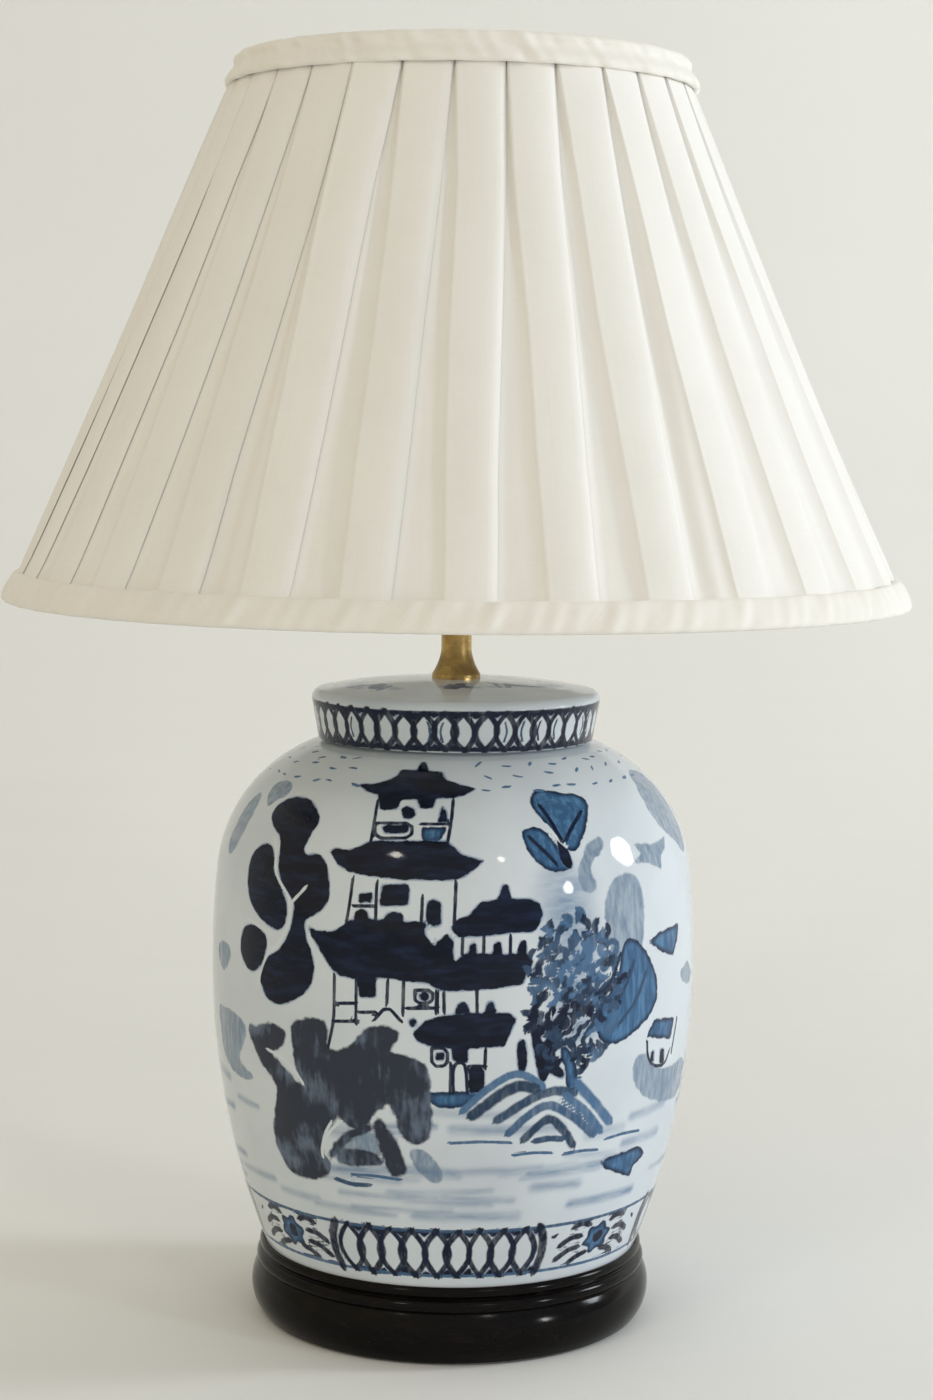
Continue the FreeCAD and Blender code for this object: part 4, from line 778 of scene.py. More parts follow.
        (39, 276.5), (38.4, 272.2), (35.8, 266.7), (33.7, 261.2), (30.7, 254.8), (28.3, 255.6),
        (27, 257.5), (25.8, 262.1), (24.1, 268), (21.6, 273.8)]),
    "leafR2": ("middle", 2, [(16.9, 264.1), (19.3, 265.7), (22.2, 265.1), (24.5, 260.9), (25.8, 255.4),
        (27.6, 250.2), (28.6, 247.4), (25.8, 245.4), (22.6, 247.1), (19.6, 251), (17.9, 257)]),
    "leafStem": ("dark", 2, [(26.6, 260.7), (27.7, 260.6), (28, 255.2), (28.5, 251), (28.9, 247.3),
        (27.3, 247.5), (26.1, 251.3), (26.2, 256.3)]),
    "washR1": ("grey", 2, [(38.1, 259.7), (39.4, 257.1), (37.5, 252.9), (34.5, 249.7), (33, 244.4),
        (34.8, 239.4), (34.5, 235.7), (32.5, 235.1), (30.5, 238.2), (30.3, 244.8), (32.2, 251),
        (34.3, 256.6)]),
    "washR2": ("grey", 2, [(38.5, 237.3), (42.8, 241.6), (46.9, 240.7), (49.3, 233.4), (49.5, 221.7),
        (49.1, 209.2), (46.7, 201.6), (42.3, 199.4), (39, 203.6), (37.5, 213.6), (36.9, 226.7)]),
    "bigLeafR": ("middle", 2, [(43.3, 210.8), (47.3, 207.7), (50.7, 200.4), (54, 189.4), (54.7, 179.3),
        (52.5, 171.6), (48.1, 166.2), (43.5, 161.7), (38.9, 159.7), (35.3, 164.1), (33.9, 172.3),
        (35.4, 180.8), (38.8, 186.7), (41.1, 194.9), (41.7, 204.4)]),
    "trunk1": ("dark", 2, [(14.8, 166), (16.4, 166.8), (16.8, 158), (16.5, 151.2), (15.3, 151.3)]),
    "trunk2": ("dark", 2, [(18.1, 173.3), (19.6, 169.3), (20.4, 162.3), (22.2, 167.9), (23.6, 173.5),
        (25.4, 180.9), (26.7, 179.7), (25.1, 170.3), (22.8, 162.9), (21.8, 157.2), (26.4, 149),
        (25.8, 146.2), (21.9, 151.8), (21.6, 145.9), (20.4, 146.6), (19.4, 155.7), (18.5, 163.6)]),
    "trunk3": ("middle", 2, [(25.3, 162.5), (27.1, 160.2), (28.6, 154), (29.7, 145.8), (29.2, 139.9),
        (27, 142.4), (26.7, 150.4), (25.5, 156.6)]),
    "houseRoof": ("middle", 1, [(50.8, 159.7), (53.9, 167.6), (63.6, 164.8), (62.3, 154.2)]),
    "island": ("grey", 2, [(46.6, 149.7), (50.8, 152.2), (53, 145.3), (57.1, 140.6), (66.4, 138.6),
        (72.5, 140.9), (77.4, 134.4), (73.2, 120.3), (60.8, 123.1), (51.7, 130), (47.5, 138.3)]),
    "winM": ("dark", 1, [(53.3, 151.7), (54.6, 151.3), (54.7, 145.1), (53.3, 146.2)]),
    "winN": ("dark", 1, [(57.3, 151.2), (59.4, 150.3), (59.7, 143.1), (57.6, 143.9)]),
    "bird1": ("grey", 1, [(48.9, 254.9), (57.4, 252.5), (64.8, 254.5), (62.6, 248.8), (59.3, 246.3),
        (58.7, 240.1), (53.9, 244.3), (47, 245.9), (51.4, 249.6)]),
    "bird2": ("middle", 1, [(50.9, 206.7), (56.3, 210.4), (65.8, 211.2), (65.1, 204), (62.2, 196),
        (56.1, 200.6)]),
    "bird3": ("middle", 1, [(39.1, 100.8), (43.9, 102.2), (53.7, 102.9), (57.3, 97.1), (52.9, 93.3),
        (52, 87.3), (45.7, 92.6), (41.7, 95.7)]),
    "bird4": ("grey", 1, [(66.7, 186.3), (72.5, 190.1), (78.2, 181.6), (74.4, 177.1), (68.5, 181)]),
    "shoulderR": ("grey", 2, [(71, 284.8), (80.1, 282.6), (83.1, 278), (83.5, 271.5), (82.7, 263.6),
        (81.3, 255), (80, 245.3), (75.7, 243), (72.3, 249.6), (65.4, 257.8), (63.3, 265), (63.4, 271.6),
        (66.7, 279)]),
}
# Thin lines of the buildings, hill and leaves; a negative tone is a line left white.
thinLines = {
    "storeyLeftTop": (0.85, 0.88, [(-21.4, 277), (-20.6, 267.5), (-20.4, 258.7)]),
    "storeyRightTop": (0.85, 0.88, [(-0.2, 278.2), (-0.6, 268.8), (-1.4, 260)]),
    "sillTop": (0.85, 0.88, [(-20.3, 267.1), (-10.6, 267.9), (-10.2, 261.4), (-19.5, 260.5),
        (-20.3, 267.1)]),
    "sashTop": (0.85, 0.88, [(-8.2, 267.6), (-1.1, 267.9)]),
    "storeyLeftMid": (0.85, 0.88, [(-23.5, 241.8), (-23.7, 231.6), (-24.4, 221)]),
    "storeyRightMid": (0.85, 0.88, [(0.7, 242.1), (0.4, 222.6)]),
    "sashMid": (0.85, 0.88, [(-17.5, 240.8), (-17.4, 222.6)]),
    "beamMid": (0.85, 0.88, [(-22.8, 228.9), (-17.9, 229.6)]),
    "jambMid": (0.85, 0.88, [(-6.8, 234.9), (-6.9, 223.7)]),
    "storeyLeftLow": (0.85, 0.88, [(-26.9, 195.3), (-26.9, 173.5), (-28.4, 160.5)]),
    "postLow1": (0.85, 0.88, [(-21.5, 194.5), (-21.5, 173.3)]),
    "railLow": (0.85, 0.88, [(-26.2, 181.9), (-21.6, 182.9)]),
    "sillLow": (0.85, 0.88, [(-26.9, 173.1), (-21.2, 174.3)]),
    "railLow2": (0.85, 0.88, [(-20.8, 178.7), (-17, 179.4)]),
    "postLow2": (0.85, 0.88, [(-14.2, 195.1), (-14.3, 183.6)]),
    "gable": (0.85, 0.88, [(-17.2, 175.5), (-14.3, 183.1), (-11.1, 175.9)]),
    "postLow3": (0.85, 0.88, [(-10.6, 194.6), (-10.7, 179.3)]),
    "sashLow": (0.85, 0.88, [(-9.8, 182.2), (-3.2, 182.8)]),
    "postLow4": (0.85, 0.88, [(-3.3, 190.4), (-3.4, 180.8)]),
    "frameLow": (0.85, 0.88, [(-8.1, 191), (-4.2, 191.3), (-4.1, 185.1), (-8, 184.8), (-8.1, 191)]),
    "wallA4": (0.85, 0.88, [(2.3, 216.5), (2.2, 208.1)]),
    "wallA5": (0.85, 0.88, [(7, 217), (6.9, 208.1)]),
    "wallA6": (0.85, 0.88, [(13, 216.7), (12.9, 208.3)]),
    "wallB3": (0.85, 0.88, [(5.5, 191.5), (5.6, 180.5)]),
    "wallB4": (0.85, 0.88, [(-1.7, 190.5), (-1.6, 180.9)]),
    "wallC1": (0.85, 0.88, [(-4.3, 163.5), (-0.8, 163.6), (-0.7, 154.9), (-4.2, 154.7), (-4.3, 163.5)]),
    "wallC2": (0.85, 0.88, [(-0, 155.9), (-0.1, 142.1)]),
    "archC": (0.85, 0.88, [(0.6, 142.1), (0.4, 154.9), (2, 157.4), (3.3, 154.9), (3.7, 142.1)]),
    "wallC3": (0.85, 0.88, [(7.6, 163.1), (7.5, 153.9)]),
    "wallC4": (0.85, 0.88, [(3.8, 154.9), (7.5, 154.8)]),
    "hillEdge": (1.9, 0.12, [(2.7, 132.7), (5.8, 139.1), (9.3, 145.4), (13.9, 150.9), (17.7, 149),
        (21, 143.5)]),
    "hillA": (2.8, 0.72, [(5, 130.7), (9, 137), (12.5, 142.7), (15.9, 144.8), (19.3, 142.4)]),
    "hillB": (2.4, 0.66, [(10.8, 127.9), (15.1, 133.9), (19.9, 139.3), (25, 140.8), (29.2, 138.4)]),
    "hillC": (2.2, 0.5, [(13.6, 121.1), (17.6, 129.1), (22.5, 134.9), (28.1, 128.6), (33, 120.8),
        (35.4, 115.9)]),
    "hillD": (2.2, 0.7, [(17.3, 117.5), (20.9, 124.6), (23.5, 127.6), (27.3, 120.2), (30, 112.4)]),
    "hillE": (1.6, 0.62, [(20.1, 116.1), (24.1, 116.8), (27.1, 115.6)]),
    "hillF": (2.6, 0.25, [(30.1, 142.7), (35.1, 132.3), (40.2, 121.1)]),
    "hillG": (2.2, 0.35, [(27.2, 137.4), (33.1, 127.8), (37.7, 117.3)]),
    "branch1": (1.5, 1.0, [(42.4, 193), (35.9, 185.5), (30.6, 178)]),
    "branch2": (1.1, 0.85, [(41, 203.1), (38.2, 189.8), (33.7, 185)]),
    "branch3": (1.0, 0.7, [(45.6, 198.5), (42.5, 185.7), (37.8, 176.2)]),
    "branch4": (1.0, 0.65, [(50, 192.2), (46.6, 179.5), (41, 169.5)]),
    "houseWall": (0.85, 0.88, [(51.3, 157.1), (51.8, 149.8), (54.4, 143.7), (60.4, 141.7),
        (62.3, 148.6)]),
    "houseEdge": (0.85, 0.88, [(65.6, 163.5), (64.5, 154.8), (63.7, 147)]),
    "bankLine": (1.2, 0.6, [(-28.6, 93.3), (-24.7, 91.7), (-19.9, 92.4)]),
    "veinR1": (1.1, 0.95, [(23.9, 275), (25.7, 267.9), (27.3, 259.3)]),
    "veinR2": (1.0, 0.9, [(35.6, 271.2), (30.9, 264.7), (27.9, 258.3)]),
    "veinR3": (1.0, 0.9, [(19, 261.4), (22.1, 255.3), (24.8, 249.2)]),
    "veinL1": (0.8, -1.0, [(-49.5, 255.2), (-47, 249.2), (-46.2, 240.9), (-43.7, 235.3), (-40.5, 229.4),
        (-39.8, 223.3), (-40.3, 215.5), (-42.8, 207.1), (-46.5, 200.6), (-48.4, 193.6), (-50, 184.2)]),
    "veinL2": (0.8, -1.0, [(-39.6, 227.2), (-37.5, 231.6), (-35.8, 235.3)]),
    "veinL3": (0.8, -1.0, [(-55.3, 215.3), (-50.3, 212.6), (-45.5, 210.1)]),
    "veinRock": (0.8, -1.0, [(-46.9, 153), (-41.8, 150.9), (-38.1, 145.7), (-35.9, 140)]),
    "veinRock3": (0.8, -1.0, [(-28.6, 122.6), (-30.8, 115.8), (-31.7, 108.3)]),
    "veinRock2": (0.8, -1.0, [(-32, 104.1), (-31.9, 109.8), (-29.3, 117.8), (-26.1, 123.8)]),
    "veinHill": (0.8, -1.0, [(28, 257), (26.1, 260.8), (24.1, 266.7)]),
}


# The border round the foot and what fills the rest of the jar. Turns in degrees, levels in millimetres.
borderLook = {
    "low": 45.5, "high": 70.2, "half": 1.42, "pitch": 6.2, "line": 0.9, "endHalf": 2.3, "leafHalf": 1.7,
    "panels": ((-30.5, 23.5), (68.0, 118.0), (158.0, 202.0), (242.0, 286.0)),
    "flowers": (44.5, 138.0, 222.0, 311.5), "seed": 11,
}
curlyTree = {
    "middle": (28.5, 188.0), "reach": (12.5, 38.0), "spacing": 3.9, "half": (1.2, 1.9), "seed": 5,
}
dots = {"rows": ((292.2, 9.0), (288.0, 10.5), (282.6, 8.0)), "half": 0.8, "length": 1.25,
        "clear": ((-30.0, 8.0), (172.0, 210.0)), "seed": 3}
water = {"count": 96, "levels": (78.0, 134.0), "half": (2.4, 5.0), "length": (9.0, 28.0), "seed": 21}
# first turn, last turn and level of each thin line on the water
ripples = ((0.0, 14.0, 116.5), (15.0, 24.5, 109.5), (28.0, 37.5, 107.5), (40.0, 52.0, 112.0),
           (-24.0, -12.0, 97.0))
# leaves beside each border flower: turns from its middle, and levels
borderLeaves = (
    ((-9.4, 67), (-7, 68.6), (-4.4, 66.8)), ((-13, 58), (-10, 61.5), (-6.8, 61.4)),
    ((-13.5, 50.5), (-10, 54.8), (-7, 55.4)), ((-8.5, 47.8), (-6, 50.5), (-3.4, 51.4)))
# birds between the two scenes: turn, level and size, and the outline of one
birds = ((91, 262, 1.0), (99, 214, 1.2), (86, 170, 0.9), (268, 248, 1.1), (262, 196, 1.0),
         (277, 152, 0.9), (94, 120, 1.0))
birdOutline = ((-6, 1), (-1, 2.5), (4, 7), (4.4, 1), (3.4, -3), (4, -8), (0.5, -4.6), (-5.5, -3.6))


def paintLandscape(work, at, place):
    # The same scene is painted in front and, mirrored, behind; place moves a front place to its own.
    for brush, rounds, points in landscape.values():
        work.shape(brush, at([place(*point) for point in points]), rounds)
    for number, (half, tone, points) in enumerate(thinLines.values()):
        work.stroke(at([place(*point) for point in points]), half, tone, layer=number % 2, rounds=1)
    hand = np.random.default_rng(curlyTree["seed"])
    (turn0, level0), (turnReach, levelReach) = curlyTree["middle"], curlyTree["reach"]
    cloud = (1, -14), (0, 12), (-2, 48)  # a pale wash behind the curls
    work.wash(at([place(turn0 + turn, level0 + rise) for turn, rise in cloud]), 24.0, 0.85)
    for first, last, level in ripples:
        line = (first, level), ((first + last) / 2, level + 0.8), (last, level - 0.3)
        work.stroke(at([place(*point) for point in line]), 0.8, 0.42)
    count = 0
    for level in np.arange(level0 - levelReach, level0 + levelReach, curlyTree["spacing"] * 0.86):
        for turn in np.arange(turn0 - turnReach, turn0 + turnReach, 2.2):
            spot = np.array([turn, level]) + hand.normal(0, 1, 2) * (0.6, 1.3)
            inside = ((spot[0] - turn0) / turnReach) ** 2 + ((spot[1] - level0) / levelReach) ** 2
            heading, bow = hand.uniform(0, 2 * math.pi), hand.uniform(1.0, 2.2)
            half, tone = hand.uniform(*curlyTree["half"]), hand.uniform(0.25, 0.85)
            if inside > 1 or tone < 0.32:
                continue
            tone = min(1.0, tone + 0.35 * (level < level0 - 6 and turn < turn0 + 4))
            swing = heading + np.array([-1.1, 0.0, 1.1])
            curl = np.stack([np.cos(swing) * bow * 0.62, np.sin(swing) * bow * 1.25], 1)
            work.stroke(at([place(*(spot + step)) for step in curl]), half, tone, layer=count % 2)
            count += 1
    return count


def paintBorder(work, at):
    low, high, half = borderLook["low"], borderLook["high"], borderLook["half"]
    alongLow, alongHigh = at([(0, low)])[0, 1], at([(0, high)])[0, 1]
    for first, last in borderLook["panels"]:
        latticeBand(work, first, last, borderLook["pitch"], alongLow, alongHigh, half,
                    borderLook["seed"] + int(first) % 360)
        for turn, bow in ((first - 1.6, -1.0), (last + 1.6, 1.0)):  # thick strokes end the panel
            curve = (-0.8, high), (0.7, 63.0), (0.9, 54.0), (-0.4, low)
            work.stroke(at([(turn + bow * swing, level) for swing, level in curve]),
                        borderLook["endHalf"], 1.0, layer=1)
    for turn in borderLook["flowers"]:
        petals = [(turn + 4.6 * math.sin(step) * (1 + 0.16 * math.sin(6 * step)),
                   58.5 + 7.6 * math.cos(step) * (1 + 0.18 * math.sin(6 * step)))
                  for step in np.linspace(0, 2 * math.pi, 36, endpoint=False)]
        work.shape("middle", at(petals), 1)
        heart = (-1.6, 60.5), (1.3, 62), (2, 57), (-0.6, 55)
        work.shape("dark", at([(turn + a, b) for a, b in heart]), 2)
        for way in (-1, 1):
            for leaf in borderLeaves:
                work.stroke(at([(turn - way * a, b) for a, b in leaf]), borderLook["leafHalf"], 0.95)
            work.stroke(at([(turn + way * 15, 64), (turn + way * 15.6, 63.4)]), 1.0, 0.8, layer=1)
    for level, tone in ((high, 0.55), (low, 0.45)):
        work.ring(at([(0, level)])[0, 1], borderLook["line"], tone, layer=0)


def paintFillings(work, at):
    # Dots on the shoulder, water strokes, and birds and leaves between the two scenes.
    hand = np.random.default_rng(dots["seed"])
    for level, pitch in dots["rows"]:
        for turn in np.arange(0, 360, pitch):
            spot = turn + hand.normal(0, 1.4), level + hand.normal(0, 0.9)
            half, tone = dots["half"] * hand.uniform(0.7, 1.2), hand.uniform(0.12, 0.38)
            if any(first < (turn + 180) % 360 - 180 < last or first < turn < last
                   for first, last in dots["clear"]):
                continue
            long = dots["length"] * hand.uniform(0.6, 1.3) / 1.6
            ends = (spot[0] - long, spot[1]), (spot[0] + long, spot[1] + hand.normal(0, 0.4))
            work.stroke(at(ends), half, tone, layer=1)
    hand = np.random.default_rng(water["seed"])
    for _ in range(water["count"]):
        turn, level = hand.uniform(0, 360), hand.uniform(*water["levels"])
        long, bend = hand.uniform(*water["length"]) / 2, hand.normal(0, 0.9)
        work.wash(at([(turn - long, level), (turn, level + bend), (turn + long, level + 2 * bend)]),
                  hand.uniform(*water["half"]), hand.uniform(0.45, 1.0))
    for turn, level, size in birds:
        work.shape("grey", at([(turn + a * size, level + b * size * 1.1) for a, b in birdOutline]), 1)
    for turn in (84, 268):
        for level in (134, 125, 117):
            work.wash(at([(turn - 9, level), (turn, level + 4), (turn + 9, level + 1)]), 4.0, 0.8)


def jarPiece():
    profile, turns = jarOutline(), jarTurns()
    radii, levels = profile.T
    lengths = np.concatenate([[0], np.cumsum(np.hypot(*np.diff(profile, axis=0).T))])
    foot = np.abs(profile - np.array(jar["foot"])).sum(1).argmin()
    neck = np.abs(profile - np.array(jar["neck"])).sum(1).argmin()
    along = lengths - lengths[foot]
    work = Brushwork(turns, radii, along, jar["paintedStep"])

    def at(places):
        places = np.array(places, float)
        return np.stack([places[:, 0], np.interp(places[:, 1], levels[foot:neck], along[foot:neck])], 1)

    curls = paintLandscape(work, at, lambda turn, level: (turn, level))
    paintLandscape(work, at, lambda turn, level: (180 - turn, level * 0.985 + 3.0))
    paintBorder(work, at)
    paintFillings(work, at)
    work.washes[levels < jar["foot"][1] + 1.4, :, 2] = 1.0  # bare clay under the foot
    swing = np.radians(turns)[None, :]
    thrown = np.sin(2 * swing + levels[:, None] / 60) + 0.6 * np.sin(3 * swing - levels[:, None] / 37)
    outside = np.clip((levels[:, None] - 42) / 30, 0, 1) * np.clip((292 - levels[:, None]) / 20, 0, 1)
    wobbly = radii[:, None] + jar["thrownWobble"] * thrown * outside
    points = roundTrip(turns[None, :], wobbly, levels[:, None])
    piece = gridMesh("glazed_jar", points, loop=True, fields=work.fields())
    print("jar:", len(profile), "rows by", len(turns), "columns,", curls, "leaf curls in each tree")
    settle(piece, "base", "painted_glaze", "jar_body")


lid = {
    "skirt": (69.9, 297.2), "rim": (73.5, 317.6), "rimTop": (70.1, 322.0), "step": (59.0, 323.9),
    "boss": (15.0, 327.5), "hole": 5.6, "bore": 65.3, "under": 321.0,
    "rimCurve": 4.8, "crownCurve": 420.0,
    "columns": 540, "collar": (1.3, 19.6), "pitch": 8.0, "line": 1.4, "seed": 8,
}


def lidPiece():
    # Flared collar with a painted net, rolled rim, shallow step and a slightly domed top.
    form = lid
    corners = [
        (form["hole"], form["under"], 6.0), (56.5, 316.6, 12.0), (form["bore"], 314.6, 6.0),
        (form["bore"], form["skirt"][1], 6.0), (*form["skirt"], 3.0), (*form["rim"], 0.82),
        (*form["rimTop"], 0.7, form["rimCurve"]), (*form["step"], 1.3),
        (*form["boss"], 1.3, form["crownCurve"]), (form["hole"], form["boss"][1], 2.0),
        (form["hole"], form["under"], 6.0),
    ]
    profile = easedCorners(outline(corners, closed=True), 0.9)
    turns = np.arange(form["columns"]) * 360 / form["columns"]
    radii, levels = profile.T
    lengths = np.concatenate([[0], np.cumsum(np.hypot(*np.diff(profile, axis=0).T))])
    start = np.abs(profile - np.array(form["skirt"])).sum(1).argmin()
    along = lengths - lengths[start]
    work = Brushwork(turns, radii, along, 0.82)
    low, high = form["collar"]
    latticeBand(work, 0.0, 360.0, form["pitch"], low, high, form["line"], form["seed"], wobble=0.9)
    hand = np.random.default_rng(form["seed"])
    for number in range(round(360 / form["pitch"])):
        turn, mid = (number + 0.5) * form["pitch"] + hand.normal(0, 0.5), (low + high) / 2
        if hand.random() < 0.55:  # a second, thinner touch inside some of the ovals
            way = hand.choice((-1, 1))
            bow = (0.8, 4.5), (2.0, 0.0), (0.9, -4.5)
            work.stroke([(turn + way * a, mid + b) for a, b in bow], 0.55, hand.uniform(0.5, 0.85),
                        layer=1)
    work.ring(high, 1.15, 1.0, layer=0)
    work.ring(low, 1.0, 0.95, layer=0)
    for number in range(9):  # loose leaf strokes on the top
        turn, reach = number * 40 + hand.normal(0, 5), hand.uniform(38, 66)
        for leaf in range(4):
            lean = hand.normal(0, 7)
            first = turn + hand.normal(0, 6), reach + hand.normal(0, 3)
            work.stroke([first, (first[0] + lean * 0.6, first[1] + 5), (first[0] + lean, first[1] + 9)],
                        hand.uniform(1.2, 2.4), hand.uniform(0.25, 0.45), layer=leaf % 2)
        work.wash([(turn - 12, reach + 2), (turn, reach + 4), (turn + 12, reach)], 6.0, 0.7)
    points = roundTrip(turns[None, :], radii[:, None], levels[:, None])
    piece = gridMesh("glazed_lid", points, loop=True, fields=work.fields())
    print("lid:", len(profile), "rows by", len(turns), "columns")
    settle(piece, "base", "painted_glaze", "jar_lid")


jarPiece()
lidPiece()


# Pleated shade. Offsets are measured square to its slope, inwards from the bindings' outer face.
shade = {
    "bottom": 366.8, "height": 269.6, "bottomRadius": 228.6, "topRadius": 111.7,
    "pleats": 30, "panels": 6, "turn": -25.4, "box": 23.4, "topGap": 0.5, "clothPerPleat": 47.8,
    "faceOffset": 1.5, "foldOffset": 3.1, "backOffset": 4.7, "closeOffset": 3.55, "clearOfBinding": 1.5,
    "rollWidth": 4.2, "rollDrop": 1.35, "rampWidth": 7.5, "rampCurve": 1.7,
    "endDepth": 0.34, "endReach": 42.0,
    "crown": 1.0, "sag": 3.6, "sagReach": 11.0, "wander": 0.7, "clothThick": 0.35,
    "rows": 42, "seed": 14, "ridge": 1.9, "faceSamples": 12,
}
squareness = math.hypot(1, (shade["bottomRadius"] - shade["topRadius"]) / shade["height"])


def slopeRadius(level, offset):
    lean = (shade["topRadius"] - shade["bottomRadius"]) / shade["height"]
    return shade["bottomRadius"] + lean * (level - shade["bottom"]) - offset * squareness


def slowWander(hand, count, places, steps=5):
    # count smooth random curves at the given places from 0 to 1.
    knots = np.linspace(0, 1, steps)
    values = hand.normal(0, 1, (count, steps))
    return np.stack([np.interp(places, knots, row) for row in values])


def pleatSection(width, gap, lap):
    # One knife pleat along the cloth: across the raised face, which rolls off at its right side, back
    # under that edge and out again, along the valley, and up a slope that steepens towards the next
    # face. Gives the way round and the offset.
    face, fold, back = (shade[key + "Offset"] for key in ("face", "fold", "back"))
    close = shade["closeOffset"]  # where the valley meets the underside of the fold
    edge = 0.13
    slope = min(max(gap * 0.55, 0.2), shade["rampWidth"])
    start, foot = width - lap, width + gap - slope
    places = []
    for share in np.linspace(0, 1, shade["faceSamples"]):
        way = width * (share - 0.06 * math.sin(2 * math.pi * share))
        roll = max(0.0, (way - width) / shade["rollWidth"] + 1)
        places.append((way, face + shade["rollDrop"] * roll ** 2))
    places += [(width + edge, face + shade["rollDrop"] + 0.1), (width + edge * 0.4, fold - 0.05),
               (width - lap * 0.33, fold), (width - lap * 0.7, fold), (start + edge, fold + 0.03),
               (start - edge, (fold + close) / 2), (start + edge, close)]
    for share in np.linspace(0.1, 1, 10):
        way = start + (foot - start) * share
        deep = min(1.0, max(0.0, (way - width) / max(0.3, min(4.5, (foot - width) * 0.8))))
        places.append((way, close + (back - close) * deep * deep * (3 - 2 * deep)))
    places += [(foot + slope * share, back - (back - face - 0.05) * share ** shade["rampCurve"])
               for share in (0.15, 0.3, 0.45, 0.6, 0.75, 0.88, 0.985)]
    return places


def pleatedCloth():
    form = shade
    hand = np.random.default_rng(form["seed"])
    rows, count = form["rows"], form["pleats"]
    climb = np.linspace(0, 1, rows)
    clear = form["clearOfBinding"]
    levels = form["bottom"] + clear + climb * (form["height"] - 2 * clear)
    outer = slopeRadius(levels, form["faceOffset"])
    pitch = 2 * math.pi * outer / count
    width = np.minimum(form["box"], pitch - form["topGap"])
    gap = pitch - width
    lap = np.maximum(0.25, (form["clothPerPleat"] - width - gap) / 2)
    places = np.array([pleatSection(*numbers) for numbers in zip(width, gap, lap)])  # rows, samples, 2
    samples = places.shape[1]
    ease = np.sin(np.pi * climb) ** 0.7
    moved = (slowWander(hand, count, climb) * form["wander"] * ease).T      # box edges that drift
    widened = (slowWander(hand, count, climb) * form["wander"] * 0.4 * ease).T
    lifted = (slowWander(hand, count, climb, 4) * 0.2 * ease).T
    fullness = 1 + 0.4 * slowWander(hand, count, climb, 4)
    way, offset = places[..., 0], places[..., 1]
    share = np.clip(way / width[:, None], 0, 1)
    onFace = (np.arange(samples) < form["faceSamples"]).astype(float)
    arch = onFace * np.sin(np.pi * share ** 1.25)
    # the pleats are pressed flatter where the bindings hold them
    fromEnd = np.minimum(2 * climb, 1 - climb) * form["height"] / form["endReach"]
    depth = form["endDepth"] + (1 - form["endDepth"]) * np.clip(fromEnd, 0, 1) ** 0.8
    offset = form["faceOffset"] + (offset - form["faceOffset"]) * depth[:, None]
    # all pleats at once: rows, pleats, samples
    onward = np.clip((way - width[:, None]) / gap[:, None], 0, 1)[:, None, :]  # share of the next pleat
    drift = moved[..., None] + widened[..., None] * (2 * share[:, None, :] - 1)
    nextDrift = (np.roll(moved, -1, 1) - np.roll(widened, -1, 1))[..., None]
    way = way[:, None, :] + drift * (1 - onward) + nextDrift * onward
    bulge = form["crown"] * arch[:, None, :] * fullness.T[..., None] * depth[:, None, None]
    lift = lifted[..., None] * (1 - onward) + np.roll(lifted, -1, 1)[..., None] * onward
    offset = offset[:, None, :] - bulge + lift
    turn = np.degrees(way / outer[:, None, None]) + form["turn"]
    turn = turn + 360 / count * np.arange(count)[:, None]
    panel = 360 / form["panels"]
    nearest = (turn - form["turn"] + panel / 2) % panel - panel / 2
    across = np.radians(nearest) * outer[:, None, None]
    hollow = form["sag"] * (1 - np.exp(-np.abs(across) / form["sagReach"]))
    hollow = hollow * (0.35 + 0.65 * np.sin(np.pi * climb) ** 0.6)[:, None, None]
    # the joined panel edges lie in a rolled ridge with a groove on each side, left of each strut
    half = (0.17 * gap + 0.6)[:, None, None]
    fromSeam = (across + 0.36 * gap[:, None, None]) / half
    seam = np.exp(-fromSeam ** 2) - 0.4 * np.exp(-((np.abs(fromSeam) - 1.9) / 0.7) ** 2)
    seam = form["ridge"] * seam * ((1 - climb) ** 0.6 * depth)[:, None, None]
    radii = outer[:, None, None] - (offset - form["faceOffset"] + hollow - seam) * squareness
    turn, radii = (values.reshape(rows, count * samples) for values in (turn, radii))
    points = roundTrip(turn, radii, levels[:, None])
    steps = np.hypot(*np.diff(places[rows // 2], axis=0).T)
    runs = np.concatenate([[0], np.cumsum(steps)])
    runs = runs / runs[-1] * form["clothPerPleat"] * 0.97
    u = np.concatenate([(np.arange(count)[:, None] * form["clothPerPleat"] + runs).ravel(),
                        [count * form["clothPerPleat"]]]) * mm
    v = climb * form["height"] * squareness * mm
    uv = np.stack(np.broadcast_arrays(u[None, :], v[:, None]), -1)
    piece = thicken(gridMesh("pleated_cloth", points, uv=uv), form["clothThick"])
    settle(piece, "shade", "pleated_cloth", "shade_pleats")
    print("pleated cloth:", rows, "rows by", count * samples, "columns")


lining = {
    "offset": 9.6, "bottom": 368.6, "top": 629.0, "thick": 0.5, "columns": 240, "rows": 40,
    "pull": 0.35,
}


